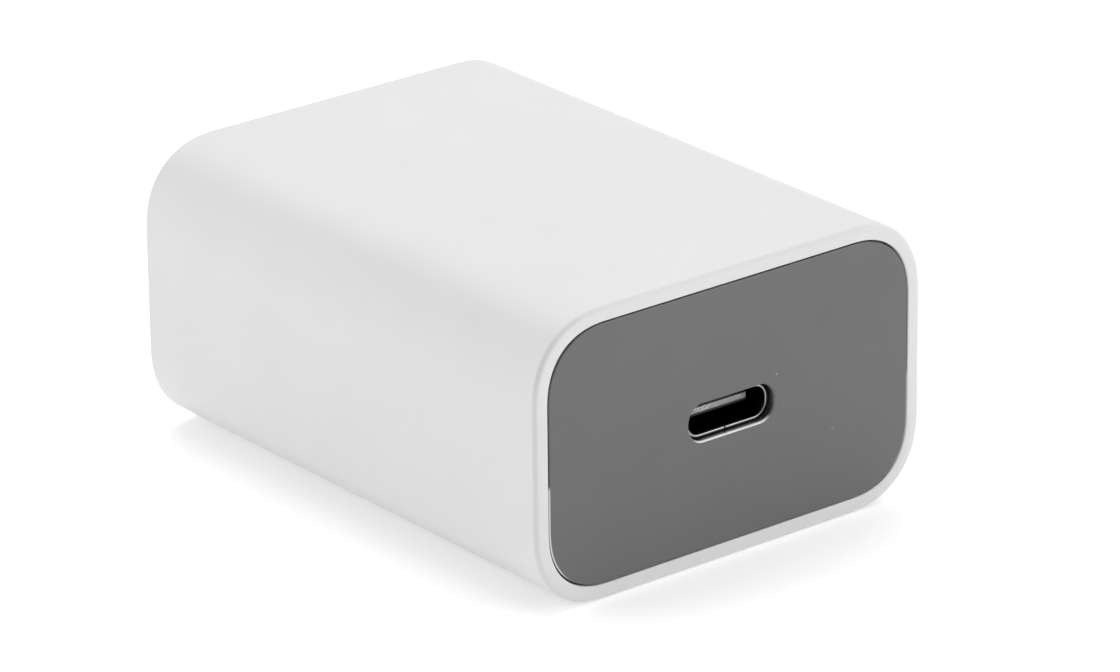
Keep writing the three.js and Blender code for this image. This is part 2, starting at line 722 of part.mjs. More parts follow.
// An upright can with a rolled bead near its foot and a dished top. It stands on z = 0.
function canGeometry(radius, height) {
  const beadAt = 1.6;
  const profile = [
    [0, 0], [radius - 0.35, 0], [radius, 0.3], [radius, beadAt - 0.6], [radius - 0.45, beadAt],
    [radius, beadAt + 0.6], [radius, height - 0.5], [radius - 0.5, height], [radius - 1.1, height],
    [radius - 1.3, height - 0.25], [0, height - 0.25],
  ];
  const turned = new THREE.LatheGeometry(profile.map(([r, y]) => new THREE.Vector2(r, y)), ROUND_STEPS);
  return turned.rotateX(Math.PI / 2);
}

function makeCans() {
  const foot = BOARD.top + SEAT;
  const cans = [
    ["bulk_capacitor_front", 5, 14.4, [11.9, -3.4], capacitorSleeve],
    ["bulk_capacitor_rear", 5, 14.4, [11.9, 7.0], capacitorSleeve],
    ["output_capacitor_left", 4, 11.2, [-12.4, -13.3], polymerCan],
    ["output_capacitor_right", 4, 11.2, [12.4, -13.3], polymerCan],
  ];
  cans.forEach(([name, radius, height, [x, y], material]) => {
    piece(name, canGeometry(radius, height), material).position.set(x, y, foot);
  });
}

// A part that hangs on two straight leads above the board.
function leads(spacing, length) {
  return [-1, 1].map((side) => rodAlongZ(0.3, (side * spacing) / 2, 0, 0, length, 8));
}

function makeLeadedParts() {
  const foot = BOARD.top + SEAT;
  const filmOutline = roundedOutline({ width: 12.6, height: 5, radius: 0.6, steps: 3 });
  const film = alongZ(new THREE.Shape(filmOutline), 10.6, 0.4).translate(0, 0, 6.1);
  const safety = pieceOf("safety_capacitor", joined(solidOf(film), ...leads(10, 2)), filmBox);
  safety.rotation.z = Math.PI / 2;
  safety.position.set(3.7, -1.2, foot);

  const discOutline = roundedOutline({ width: 8, height: 8, radius: 4 });
  const disc = alongY(discOutline, -1.9, 1.9, 1.2, 4).translate(0, 0, 6.2);
  pieceOf("bridging_capacitor", joined(solidOf(disc), ...leads(5, 4)), discBlue).position.set(0, -12.6, foot);

  const fuseOutline = roundedOutline({ width: 8, height: 3.8, radius: 0.5, steps: 3 });
  const fuse = alongZ(new THREE.Shape(fuseOutline), 7.2, 0.4).translate(0, 0, 4.4);
  pieceOf("fuse", joined(solidOf(fuse), ...leads(5.1, 2)), fuseBody).position.set(2, 10.6, foot);
}

const CHOKE = { x: -9.6, y: 11.4, ring: 4.4, core: 1.9, wire: 0.28, turns: 6 };

function makeChoke() {
  const { ring, core, wire, turns } = CHOKE;
  const group = new THREE.Group();
  const outer = ring + core + 0.5 + 2 * wire;
  group.position.set(CHOKE.x, CHOKE.y, BOARD.top + 0.2 + outer);
  housing.add(group);
  // The ring stands upright, its axis along Y.
  const torus = new THREE.TorusGeometry(ring, core, 10, 28).rotateX(Math.PI / 2);
  piece("filter_choke_core", torus, ferrite, group);

  // A wire that winds round the ring's own section while it travels along part of the ring.
  class Winding extends THREE.Curve {
    constructor(from, to) {
      super();
      this.from = from;
      this.to = to;
    }

    getPoint(t) {
      const along = this.from + (this.to - this.from) * t;
      const around = t * turns * Math.PI * 2;
      const reach = core + 0.5 + wire;
      const out = ring + reach * Math.cos(around);
      return new THREE.Vector3(out * Math.cos(along), reach * Math.sin(around), out * Math.sin(along));
    }
  }
  const halfTurn = 1.2;
  const wireShape = new THREE.Shape().absarc(0, 0, wire, 0, Math.PI * 2, false);
  const windings = [
    ["filter_choke_winding_left", Math.PI],
    ["filter_choke_winding_right", 0],
  ];
  for (const [name, middle] of windings) {
    const coil = new THREE.ExtrudeGeometry(wireShape, {
      steps: turns * 9,
      curveSegments: 3,
      extrudePath: new Winding(middle - halfTurn, middle + halfTurn),
      bevelEnabled: false,
    });
    piece(name, coil, copper, group);
  }
}

// ---------- Sheets ----------

// A sheet that follows the housing's section, kept on one side of a level plane.
function wrap(inset, thickness, fromY, toY, level, keepAbove) {
  const ring = solidOf(alongY(section(inset), fromY, toY)).subtract(
    solidOf(alongY(section(inset + thickness), fromY - 1, toY + 1)),
  );
  const [low, high] = keepAbove ? [-HEIGHT, level] : [level, HEIGHT];
  return ring.subtract(solidBox(-WIDTH, WIDTH, fromY - 1, toY + 1, low, high));
}

function makeSheets() {
  pieceOf("insulation_sheet", wrap(2.1, 0.25, -13.4, 11.6, 2, false), filmSheet);
  pieceOf("heat_spreader", wrap(2.5, 0.6, -15, 13, -2, true), aluminium);
  const padTop = HEIGHT / 2 - 3.1 - SEAT;
  const padBottom = TRANSFORMER.z + FLANGE.halfHeight + SEAT;
  const pad = box(-5.8, 5.8, -5, 5, padBottom, padTop).translate(TRANSFORMER.x, TRANSFORMER.y, 0);
  piece("thermal_pad", pad, gapPad);
}

makeSleeve();
makeFrontPlate();
makeSocket();
makePlug();
makeRearCover();
makeBracket();
makeSprings();
makeBoards();
makeChips();
makeTransformer();
makeCans();
makeLeadedParts();
makeChoke();
makeSheets();

const charger = new THREE.Group();
charger.add(housing);

export default charger;
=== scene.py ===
# %% [markdown]
# # A wall charger with a folding plug
#
# The charger is a white moulded sleeve, closed by a grey plate with a USB socket at one end and by a
# cover with two folding blades at the other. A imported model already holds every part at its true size
# and place. This script keeps that model as a fixed frame and gives each part its real surface: fine
# rounded edges, finishes, and the small pieces that were too fine for the frame.
#
# The frame is loaded first. Every size below is read from it or worked out from it, so the looks can't
# drift away from the part.

# %% Load the frame
import json
import math
from contextlib import contextmanager

import bmesh
import bpy
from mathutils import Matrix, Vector


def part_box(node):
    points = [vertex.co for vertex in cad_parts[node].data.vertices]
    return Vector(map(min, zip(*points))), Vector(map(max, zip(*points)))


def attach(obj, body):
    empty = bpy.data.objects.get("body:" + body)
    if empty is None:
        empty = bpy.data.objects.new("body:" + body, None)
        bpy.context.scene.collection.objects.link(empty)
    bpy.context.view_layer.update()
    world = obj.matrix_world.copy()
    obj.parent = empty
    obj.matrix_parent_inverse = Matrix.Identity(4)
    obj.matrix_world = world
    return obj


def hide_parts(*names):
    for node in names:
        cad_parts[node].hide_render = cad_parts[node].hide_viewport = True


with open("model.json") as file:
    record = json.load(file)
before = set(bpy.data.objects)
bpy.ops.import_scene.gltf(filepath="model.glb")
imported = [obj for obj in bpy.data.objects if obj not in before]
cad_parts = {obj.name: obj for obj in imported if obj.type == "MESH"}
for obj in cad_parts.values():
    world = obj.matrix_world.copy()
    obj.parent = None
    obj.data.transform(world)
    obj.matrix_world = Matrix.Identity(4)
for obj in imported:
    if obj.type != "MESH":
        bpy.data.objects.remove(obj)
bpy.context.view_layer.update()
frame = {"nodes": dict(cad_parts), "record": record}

MM = 0.001

# %% [markdown]
# The sizes that everything else follows. The sleeve's box gives the outside. The front plate's and the
# rear cover's boxes give the width of the rim around them, and the joint gives the line that the plug
# turns about.

# %% Read the driving sizes
LOW, HIGH = (Vector(corner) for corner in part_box("sleeve"))
CENTRE = (LOW + HIGH) / 2
WIDTH, LENGTH, HEIGHT = HIGH - LOW
PLATE_LOW, PLATE_HIGH = (Vector(corner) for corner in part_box("front_plate"))
COVER_LOW, COVER_HIGH = (Vector(corner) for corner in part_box("rear_cover"))
RIM = PLATE_LOW.x - LOW.x
PLATE_FACE = PLATE_LOW.y
PLATE_THICK = 1.2 * MM
COVER_THICK = 1.6 * MM
WALL = 1.9 * MM
COVER_GAP = 0.1 * MM
SKIRT_INSET = WALL + 0.15 * MM  # from the outside of the sleeve to the skirts of its covers
SKIRT_WALL = 1.0 * MM
SKIRT_LENGTH = 4.0 * MM
OVERLAP = 0.2 * MM  # how far a block is sunk into the piece that it is joined to
CORNER_RADIUS = 7.6 * MM
CORNER_STEPS = 28
CORNER_SQUARENESS = 0.545  # 0.5 is a circular arc, and a little more fills the corner out
JOINT = frame["record"]["behaviour"]["joints"][0]
AXIS = Vector(JOINT["pos_m"])
print("sleeve, mm:", [round(size / MM, 2) for size in (WIDTH, LENGTH, HEIGHT)], "rim:", round(RIM / MM, 2))

# %% [markdown]
# Modelling by hand means selecting something and calling an operator on it. These helpers do the
# selecting in code: `editing` opens a piece with nothing selected, and `pick` selects the faces or edges
# that pass a test of their place or direction. `settle` puts a piece's place into its mesh, so that the
# object itself stays at the origin.

# %% Helpers for selecting and editing
FACING = 0.99  # how nearly a face has to look along an axis to count as square to it
STRAIGHT = 0.999  # how nearly an edge has to run along an axis
SLACK = 0.01 * MM


def only(piece):
    """Makes one object the selected and active one."""
    bpy.ops.object.select_all(action="DESELECT")
    piece.select_set(True)
    bpy.context.view_layer.objects.active = piece


def settle(piece):
    """Applies location, rotation and scale to the mesh."""
    only(piece)
    bpy.ops.object.transform_apply(location=True, rotation=True, scale=True)


@contextmanager
def editing(piece):
    only(piece)
    bpy.ops.object.mode_set(mode="EDIT")
    bpy.ops.mesh.select_all(action="DESELECT")
    yield
    bpy.ops.object.mode_set(mode="OBJECT")


def pick(kind, test):
    """Selects the faces or edges of the open piece that pass the test."""
    bpy.ops.mesh.select_mode(type="FACE" if kind == "faces" else "EDGE")
    bpy.ops.mesh.select_all(action="DESELECT")
    data = bpy.context.edit_object.data
    shape = bmesh.from_edit_mesh(data)
    chosen = [item for item in getattr(shape, kind) if test(item)]
    for item in chosen:
        item.select_set(True)
    bmesh.update_edit_mesh(data)
    return len(chosen)


def along(edge, axis):
    """True where an edge runs along the X, Y or Z axis, given as 0, 1 or 2."""
    direction = (edge.verts[1].co - edge.verts[0].co).normalized()
    return abs(direction[axis]) > STRAIGHT


def lies_at(edge, axis, place, slack=SLACK):
    """True where both ends of an edge are at one place along an axis."""
    return all(abs(vert.co[axis] - place) < slack for vert in edge.verts)


def is_corner(edge, least=30):
    """True where the two faces beside an edge meet at more than a given angle in degrees."""
    return len(edge.link_faces) == 2 and edge.calc_face_angle(0) > math.radians(least)


def largest(piece, test, count=1):
    """The numbers of the open piece's largest faces that pass a test."""
    shape = bmesh.from_edit_mesh(piece.data)
    faces = sorted((face for face in shape.faces if test(face)), key=lambda face: -face.calc_area())
    return {face.index for face in faces[:count]}


# %% [markdown]
# Most pieces start as a box between two corners. Cutting and joining is done with the Boolean modifier,
# applied at once, and the cutter is then deleted. The last step on a hard piece is a weighted normal
# modifier: it lets the large flat faces stay flat in the shading while the narrow bevels beside them
# carry the whole turn of the light.

# %% Helpers for making, cutting and finishing
MERGE = 0.002 * MM


def ranged(first, second):
    """Two corners put in order, axis by axis."""
    return [min(pair) for pair in zip(first, second)], [max(pair) for pair in zip(first, second)]


def block(name, low, high):
    """A box between two corners."""
    bpy.ops.object.select_all(action="DESELECT")
    low = Vector(low)
    high = Vector(high)
    bpy.ops.mesh.primitive_cube_add(size=1, location=(low + high) / 2, scale=high - low)
    piece = bpy.context.active_object
    piece.name = name
    piece.data.name = name
    settle(piece)
    return piece


def rod(name, radius, start, end, steps=48):
    """A cylinder between two points."""
    bpy.ops.object.select_all(action="DESELECT")
    start = Vector(start)
    end = Vector(end)
    turn = (end - start).to_track_quat("Z", "Y").to_euler()
    bpy.ops.mesh.primitive_cylinder_add(
        vertices=steps, radius=radius, depth=(end - start).length, location=(start + end) / 2, rotation=turn
    )
    piece = bpy.context.active_object
    piece.name = name
    piece.data.name = name
    settle(piece)
    return piece


def round_edges(piece, test, radius, steps=4, profile=0.5):
    """Rounds the edges that pass a test."""
    with editing(piece):
        count = pick("edges", test)
        if count:
            bpy.ops.mesh.bevel(offset=radius, segments=steps, profile=profile, affect="EDGES")
    return count


def modify(piece, kind, **settings):
    """Adds a modifier with these settings and applies it."""
    only(piece)
    modifier = piece.modifiers.new(kind.lower(), kind)
    for setting, value in settings.items():
        setattr(modifier, setting, value)
    bpy.ops.object.modifier_apply(modifier=modifier.name)


def combine(piece, tools, operation):
    """Cuts tools out of a piece, or joins them to it, and deletes them."""
    for tool in tools:
        modify(piece, "BOOLEAN", object=tool, operation=operation, solver="EXACT")
        bpy.data.objects.remove(tool, do_unlink=True)


def join(name, parts):
    """Makes one piece of several that only lie side by side."""
    only(parts[0])
    for part in parts:
        part.select_set(True)
    bpy.ops.object.join()
    piece = bpy.context.active_object
    piece.name = name
    piece.data.name = name
    return piece


def tidy(piece):
    """Merges doubled points and dissolves needless edges in flat faces."""
    with editing(piece):
        bpy.ops.mesh.select_all(action="SELECT")
        bpy.ops.mesh.remove_doubles(threshold=MERGE)
        bpy.ops.mesh.dissolve_limited(angle_limit=math.radians(0.3))


def smooth(piece, angle=35):
    """Smooth shading below an angle, with the flat faces weighing most."""
    only(piece)
    bpy.ops.object.shade_smooth_by_angle(angle=math.radians(angle))
    modify(piece, "WEIGHTED_NORMAL", mode="FACE_AREA", weight=60, keep_sharp=True)


def wear(piece, finish, body="housing", node=None):
    """Gives a finished piece its material, the body it moves with and the part it stands for."""
    piece.data.materials.clear()
    piece.data.materials.append(finish)
    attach(piece, body)
    if node:
        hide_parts(node)
    print(piece.name, "has", len(piece.data.polygons), "faces")


# %% [markdown]
# The camera looks at the socket end from the left and a little above, through a long lens, so the
# charger's edges stay nearly parallel. It is set from angles and a distance, and it is aimed at a point
# beside the middle of the front plate, which puts the charger in the middle of the picture.

# %% Camera
AZIMUTH = math.radians(-38.66)
ELEVATION = math.radians(22.03)
ROLL = math.radians(-0.63)
CAMERA_DISTANCE = 0.538
LENS = 209.7
AIM_RIGHT = -14.17 * MM
AIM_UP = 6.26 * MM

back = Vector(
    (math.sin(AZIMUTH) * math.cos(ELEVATION), -math.cos(AZIMUTH) * math.cos(ELEVATION), math.sin(ELEVATION))
)
level_right = (-back).cross(Vector((0, 0, 1))).normalized()
level_up = level_right.cross(-back)
right = math.cos(ROLL) * level_right + math.sin(ROLL) * level_up
up = -math.sin(ROLL) * level_right + math.cos(ROLL) * level_up
front_middle = Vector((CENTRE.x, LOW.y, CENTRE.z))

bpy.ops.object.camera_add()
camera = bpy.context.active_object
camera.name = "camera"
camera.data.lens = LENS
camera.data.clip_start = 0.01
camera.data.clip_end = 20
turn = camera.matrix_world.to_3x3()
for axis, direction in enumerate((right, up, back)):
    for row in range(3):
        turn[row][axis] = direction[row]
camera.matrix_world = turn.to_4x4()
camera.location = front_middle + right * AIM_RIGHT + up * AIM_UP + back * CAMERA_DISTANCE
bpy.context.scene.camera = camera
print("camera at, mm:", [round(place / MM) for place in camera.location])

# %% [markdown]
# A white object on a white ground needs light from all round, but much less of it from where the camera
# stands. Then each rounded edge that faces the camera turns a little darker than the sides it joins, and
# the form shows. The world gives the faint even light of a tent. Two softboxes overhead make the top the
# lightest side, one behind on the left lights the long side, and one on the right the socket end.
# The floor is a pale sheet that glows a little, as a lit table does, and throws light up under the
# rounded edges.

# %% Light and floor
WORLD_LIGHT = 0.38
FLOOR_SIZE = 4.0
FLOOR_TONE = 0.95
FLOOR_ROUGHNESS = 0.8
FLOOR_GLOW = 0.25

world = bpy.data.worlds.new("soft tent")
world.use_nodes = True
world.node_tree.nodes["Background"].inputs["Color"].default_value = (1, 1, 1, 1)
world.node_tree.nodes["Background"].inputs["Strength"].default_value = WORLD_LIGHT
bpy.context.scene.world = world
bpy.context.scene.view_settings.view_transform = "Standard"


def softbox(name, place, aim, size, power):
    """A square area light that faces a point."""
    bpy.ops.object.light_add(type="AREA", location=place)
    light = bpy.context.active_object
    light.name = name
    light.data.size = size
    light.data.energy = power
    light.rotation_euler = (Vector(aim) - Vector(place)).to_track_quat("-Z", "Y").to_euler()
    return light


# Each has its place in metres, the size of its side and its power in watts.
softbox("overhead right", (0.4, 0.08, 0.86), CENTRE, 0.9, 5.6)
softbox("overhead back", (0.05, 0.5, 0.85), CENTRE, 0.6, 3.2)
softbox("behind left", (-0.75, 0.55, 0.3), CENTRE, 0.6, 3.5)
softbox("front right", (0.62, -0.8, 0.35), CENTRE, 0.6, 4.5)

bpy.ops.mesh.primitive_plane_add(size=FLOOR_SIZE, location=(0, 0, LOW.z))
floor = bpy.context.active_object
floor.name = "floor"
settle(floor)
pale = bpy.data.materials.new("pale floor")
pale.use_nodes = True
paint = pale.node_tree.nodes["Principled BSDF"]
paint.inputs["Base Color"].default_value = (FLOOR_TONE, FLOOR_TONE, FLOOR_TONE, 1)
paint.inputs["Roughness"].default_value = FLOOR_ROUGHNESS
paint.inputs["Emission Color"].default_value = (1, 1, 1, 1)
paint.inputs["Emission Strength"].default_value = FLOOR_GLOW
floor.data.materials.append(pale)

# %% [markdown]
# Every finish is built from the same few nodes: the object's own coordinates, a noise for the fine grain
# that goes to the bump, a slower noise for the small changes of colour, and one for the changes of
# gloss that handling leaves. Only the numbers differ from finish to finish. The coordinates are in
# metres, so a scale of 2000 repeats about every half millimetre.

# %% A finish from grain, colour drift and gloss drift
COLOUR_PATCHES = 90
GLOSS_PATCHES = 260


def add_node(tree, kind, **inputs):
    """Adds a node and sets its inputs by name."""
    node = tree.nodes.new(kind)
    for name, value in inputs.items():
        node.inputs[name.replace("_", " ")].default_value = value
    return node


def noise(tree, place, scale, detail=3.0):
    """A soft cloud pattern. scale is how many clouds fit in a metre."""
    node = add_node(tree, "ShaderNodeTexNoise", Scale=scale, Detail=detail)
    tree.links.new(place, node.inputs["Vector"])
    return node.outputs["Fac"]


def spread(tree, value, low, high, from_low=0.3, from_high=0.7):
    """Maps a noise onto the range between two numbers."""
    node = tree.nodes.new("ShaderNodeMapRange")
    node.inputs["From Min"].default_value = from_low
    node.inputs["From Max"].default_value = from_high
    node.inputs["To Min"].default_value = low
    node.inputs["To Max"].default_value = high
    tree.links.new(value, node.inputs["Value"])
    return node.outputs["Result"]


def blend(tree, amount, first, second):
    """Mixes two colours, each a socket or a plain colour, by an amount."""
    node = tree.nodes.new("ShaderNodeMix")
    node.data_type = "RGBA"
    tree.links.new(amount, node.inputs[0])
    for socket, colour in ((node.inputs[6], first), (node.inputs[7], second)):
        if isinstance(colour, bpy.types.NodeSocket):
            tree.links.new(colour, socket)
        else:
            socket.default_value = (*colour, 1)
    return node.outputs[2]


def finish(name, colour, roughness, metal=0.0, grain=2000, depth=0.01, drift=0.06, gloss_drift=0.05):
    """A procedural finish. depth is the height of the grain in mm, and the drifts are how far it varies."""
    material = bpy.data.materials.new(name)
    material.use_nodes = True
    tree = material.node_tree
    shader = tree.nodes["Principled BSDF"]
    place = tree.nodes.new("ShaderNodeTexCoord").outputs["Object"]
    darker = [channel * (1 - drift) for channel in colour]
    tint = blend(tree, spread(tree, noise(tree, place, COLOUR_PATCHES), 0, 1), colour, darker)
    tree.links.new(tint, shader.inputs["Base Color"])
    patches = noise(tree, place, GLOSS_PATCHES)
    gloss = spread(tree, patches, roughness - gloss_drift, roughness + gloss_drift)
    tree.links.new(gloss, shader.inputs["Roughness"])
    bump = add_node(tree, "ShaderNodeBump", Strength=1.0, Distance=depth * MM)
    tree.links.new(noise(tree, place, grain, 2.0), bump.inputs["Height"])
    tree.links.new(bump.outputs["Normal"], shader.inputs["Normal"])
    shader.inputs["Metallic"].default_value = metal
    return material


# %% [markdown]
# A handled thing is never quite even. Fine dust sits on it in a few places, given as sparse dots: a cell
# pattern whose cells are cut down to small spots, and a slow noise that lets them show only here and
# there. A handled edge is glossier than the face beside it. The inside of a socket lies in shade, so
# painted shade darkens it with the distance from its lip. Both follow from one mask: how far a point lies
# behind the front face.

# %% Specks, masks, worn edges and painted socket shade
# Painted shade: the near black laid over the dark insides of the socket.
PAINTED_SOCKET_SHADE = (0.02, 0.02, 0.02)
DOT_EDGE = 0.6
PATCH_EDGE = 0.04
CELLS_IN_PATCH = 9


def times(tree, first, second):
    """Multiplies two masks."""
    node = tree.nodes.new("ShaderNodeMath")
    node.operation = "MULTIPLY"
    tree.links.new(first, node.inputs[0])
    tree.links.new(second, node.inputs[1])
    return node.outputs[0]


def add_specks(material, spots, size, colour, rarity=0.62):
    """Adds sparse dots. spots is how many fit in a metre, size their share of a cell."""
    tree = material.node_tree
    place = tree.nodes.new("ShaderNodeTexCoord").outputs["Object"]
    cells = add_node(tree, "ShaderNodeTexVoronoi", Scale=spots)
    tree.links.new(place, cells.inputs["Vector"])
    dots = spread(tree, cells.outputs["Distance"], 1, 0, size * DOT_EDGE, size)
    patches = spread(tree, noise(tree, place, spots / CELLS_IN_PATCH), 0, 1, rarity, rarity + PATCH_EDGE)
    paint_over(material, times(tree, dots, patches), colour)


def depth_mask(tree, start, end, axis="Y"):
    """Goes from 0 to 1 between two places along an axis."""
    place = tree.nodes.new("ShaderNodeTexCoord").outputs["Object"]
    split = tree.nodes.new("ShaderNodeSeparateXYZ")
    tree.links.new(place, split.inputs["Vector"])
    return spread(tree, split.outputs[axis], 0, 1, start, end)


def paint_over(material, mask, colour):
    """Lays a colour over a finish where a mask lets it."""
    tree = material.node_tree
    shader = tree.nodes["Principled BSDF"]
    under = shader.inputs["Base Color"].links[0].from_socket
    tree.links.new(blend(tree, mask, under, colour), shader.inputs["Base Color"])


def paint_socket_shade(material, start, end):
    """Paints shade over a finish, darker with the distance into the socket, from one place along Y to
    another.
    """
    paint_over(material, depth_mask(material.node_tree, start, end), PAINTED_SOCKET_SHADE)


def polish_edges(material, start, end, roughness):
    """Makes a finish glossier behind its face, where the rounded edges are."""
    tree = material.node_tree
    shader = tree.nodes["Principled BSDF"]
    mix = tree.nodes.new("ShaderNodeMix")
    tree.links.new(depth_mask(tree, start, end), mix.inputs["Factor"])
    tree.links.new(shader.inputs["Roughness"].links[0].from_socket, mix.inputs["A"])
    mix.inputs["B"].default_value = roughness
    tree.links.new(mix.outputs["Result"], shader.inputs["Roughness"])


# %% [markdown]
# The sleeve is satin white plastic, a hard and even moulding with a little dark dust. The grey of the
# front plate is flatter, with a fine spark texture and a few pale specks, and its edges are polished.

# %% The two plastics of the housing
DARK_DUST = (0.4, 0.39, 0.37)
PALE_SPECK = (0.3, 0.3, 0.3)
GLOSS_FROM = PLATE_FACE + 0.005 * MM
GLOSS_FULL = PLATE_FACE + 0.03 * MM
EDGE_ROUGHNESS = 0.2

white = (0.632, 0.632, 0.629)
white_plastic = finish("satin white plastic", white, 0.55, grain=2600, depth=0.004, drift=0.02)
add_specks(white_plastic, 260, 0.045, DARK_DUST)
grey = (0.102, 0.102, 0.104)
grey_plastic = finish("matte grey plastic", grey, 0.44, grain=5200, depth=0.008, drift=0.05)
add_specks(grey_plastic, 420, 0.05, PALE_SPECK, 0.58)
polish_edges(grey_plastic, GLOSS_FROM, GLOSS_FULL, EDGE_ROUGHNESS)
print("finishes:", white_plastic.name, "and", grey_plastic.name)

# %% [markdown]
# ## The sleeve
#
# The real sleeve is one moulded tube of 1.9 mm wall. Its section is a rectangle whose corners are a
# little fuller than circles. It could be drawn as a curve and extruded, but a box with its four long
# edges bevelled gives the same section, and the bevel's profile sets how full the corners are. Both ends
# are then inset to the rim's width, pushed in to make the pocket for the end cover, and inset again to
# the wall's thickness. Bridging the last two outlines makes the bore.

# %% The sleeve's tube
def rounded_block(name, low, high, inset):
    """A box with the housing's section, moved inwards by an inset, with its ends at two places."""
    piece = block(name, low, high)
    round_edges(piece, lambda edge: along(edge, 1), CORNER_RADIUS - inset, CORNER_STEPS, CORNER_SQUARENESS)
    return piece


def at_end(place):
    """A test for the faces that close a piece at one place along Y."""
    return lambda face: abs(face.normal.y) > FACING and abs(face.calc_center_median().y - place) < SLACK


def push_in(place, inset, depth):
    """Insets the end face of the open piece and pushes it along Y. Returns its new place."""
    pick("faces", at_end(place))
    bpy.ops.mesh.inset(thickness=inset)
    if depth:
        bpy.ops.mesh.extrude_region_move(TRANSFORM_OT_translate={"value": (0, depth, 0)})
    return place + depth


sleeve = rounded_block("sleeve_shell", LOW, HIGH, 0)
pocket_rim = RIM - COVER_GAP
front_pocket = PLATE_FACE - LOW.y + PLATE_THICK + COVER_GAP
rear_pocket = COVER_THICK + COVER_GAP
with editing(sleeve):
    front_step = push_in(LOW.y, pocket_rim, front_pocket)
    push_in(front_step, WALL - pocket_rim, 0)
    rear_step = push_in(HIGH.y, pocket_rim, -rear_pocket)
    push_in(rear_step, WALL - pocket_rim, 0)
    bore = largest(sleeve, at_end(front_step)) | largest(sleeve, at_end(rear_step))
    pick("faces", lambda face: face.index in bore)
    bpy.ops.mesh.bridge_edge_loops()
print("sleeve:", len(sleeve.data.polygons), "faces, bore bridged")

# %% [markdown]
# A moulded edge is never sharp. The front edge of the rim has the largest round, because it is held and
# seen most. The inner edge of the rim and the rear edge are finer. Each is a bevel on the loop of edges
# at that place. Outer and inner loops are told apart by whether the wall beside them faces away from the
# middle of the tube or towards it.

# %% The sleeve's rounded edges
def wall_beside(edge, outward):
    """True where an edge borders a wall that faces out of the tube, or into it."""
    for face in edge.link_faces:
        if abs(face.normal.y) < 0.5:
            middle = face.calc_center_median()
            away = face.normal.x * (middle.x - CENTRE.x) + face.normal.z * (middle.z - CENTRE.z)
            return (away > 0) == outward
    return False


def loop_at(place, outward):
    """A test for the outer or inner loop of edges at one place along Y."""
    return lambda edge: lies_at(edge, 1, place) and is_corner(edge) and wall_beside(edge, outward)


FRONT_EDGE = 0.45 * MM
REAR_EDGE = 0.4 * MM
FINE_EDGE = 0.12 * MM
for place, outward, radius, steps in (
    (LOW.y, True, FRONT_EDGE, 8),
    (LOW.y, False, FINE_EDGE, 3),
    (HIGH.y, True, REAR_EDGE, 6),
    (HIGH.y, False, FINE_EDGE, 3),
    (front_step, False, FINE_EDGE / 2, 1),
    (rear_step, False, FINE_EDGE / 2, 1),
):
    count = round_edges(sleeve, loop_at(place, outward), radius, steps)
    print("rounded", count, "edges at", round(place / MM, 2), "mm")

# %% [markdown]
# The covers click into the sleeve. Inside each end, above and below, two short grooves wait for the
# wedges on the cover's skirt. Four ledges further in carry the main board. Both could be built into the
# tube with insets, but a box cut from the wall or joined to it is simpler and gives the same shape.

# %% The sleeve's grooves and ledges
SNAP_X = 8 * MM
SNAP_DEPTH = 2.6 * MM
FRONT_SNAP = PLATE_FACE + PLATE_THICK + SNAP_DEPTH
REAR_SNAP = HIGH.y - COVER_THICK - SNAP_DEPTH
GROOVE_HALF_LENGTH = 2.8 * MM
GROOVE_HALF_WIDTH = 0.8 * MM
GROOVE_DEPTH = 0.5 * MM
GROOVE_OVERCUT = 0.4 * MM
BOARD_GAP = 0.1 * MM
LEDGE_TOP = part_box("main_board")[0][2] - BOARD_GAP
LEDGE_INNER = 15.6 * MM
LEDGE_OUTER = 19 * MM
LEDGE_THICK = 1.1 * MM
LEDGE_LENGTH = 3.2 * MM
LEDGES_Y = (-17.3 * MM, 12.2 * MM)


def snap_groove(x, y, side):
    """A tool for one groove. side is -1 below and 1 above."""
    wall = CENTRE.z + side * (HEIGHT / 2 - WALL)
    inner = (x - GROOVE_HALF_LENGTH, y - GROOVE_HALF_WIDTH, wall - side * GROOVE_OVERCUT)
    outer = (x + GROOVE_HALF_LENGTH, y + GROOVE_HALF_WIDTH, wall + side * GROOVE_DEPTH)
    return block("groove", *ranged(inner, outer))


def board_ledge(y, side):
    """One ledge. side is -1 on the left and 1 on the right."""
    inner = (side * LEDGE_INNER, y, LEDGE_TOP - LEDGE_THICK)
    outer = (side * LEDGE_OUTER, y + LEDGE_LENGTH, LEDGE_TOP)
    return block("ledge", *ranged(inner, outer))


snap_places = [(x, side) for x in (-SNAP_X, SNAP_X) for side in (-1, 1)]
grooves = [snap_groove(x, y, side) for y in (FRONT_SNAP, REAR_SNAP) for x, side in snap_places]
ledges = [board_ledge(y, side) for y in LEDGES_Y for side in (-1, 1)]
print("grooves:", len(grooves), "ledges:", len(ledges))
combine(sleeve, grooves, "DIFFERENCE")
combine(sleeve, ledges, "UNION")
smooth(sleeve)
wear(sleeve, white_plastic, node="sleeve")

# %% [markdown]
# ## The front plate
#
# The plate is a separate moulding that lies level with the rim, a fine gap apart. It has the same
# section as the sleeve, so it starts as the same rounded box. On its back, a ring of the plate's face is
# extruded to make the skirt that reaches into the sleeve. The rear cover is made in the same way.
# Extruding a ring leaves the order of its edges and faces to chance, and later steps follow that order,
# so they are sorted by their corners and every run gives the same mesh.

# %% The plate and its skirt
def put_in_order(piece):
    """Sorts the open piece's edges and faces by their corners."""
    shape = bmesh.from_edit_mesh(piece.data)
    total = len(shape.verts)

    def place(item):
        first, second, *others = sorted(vert.index for vert in item.verts)
        return (first * total + second) * total + sum(others[:1])

    shape.edges.sort(key=place)
    shape.faces.sort(key=place)
    bmesh.update_edit_mesh(piece.data)


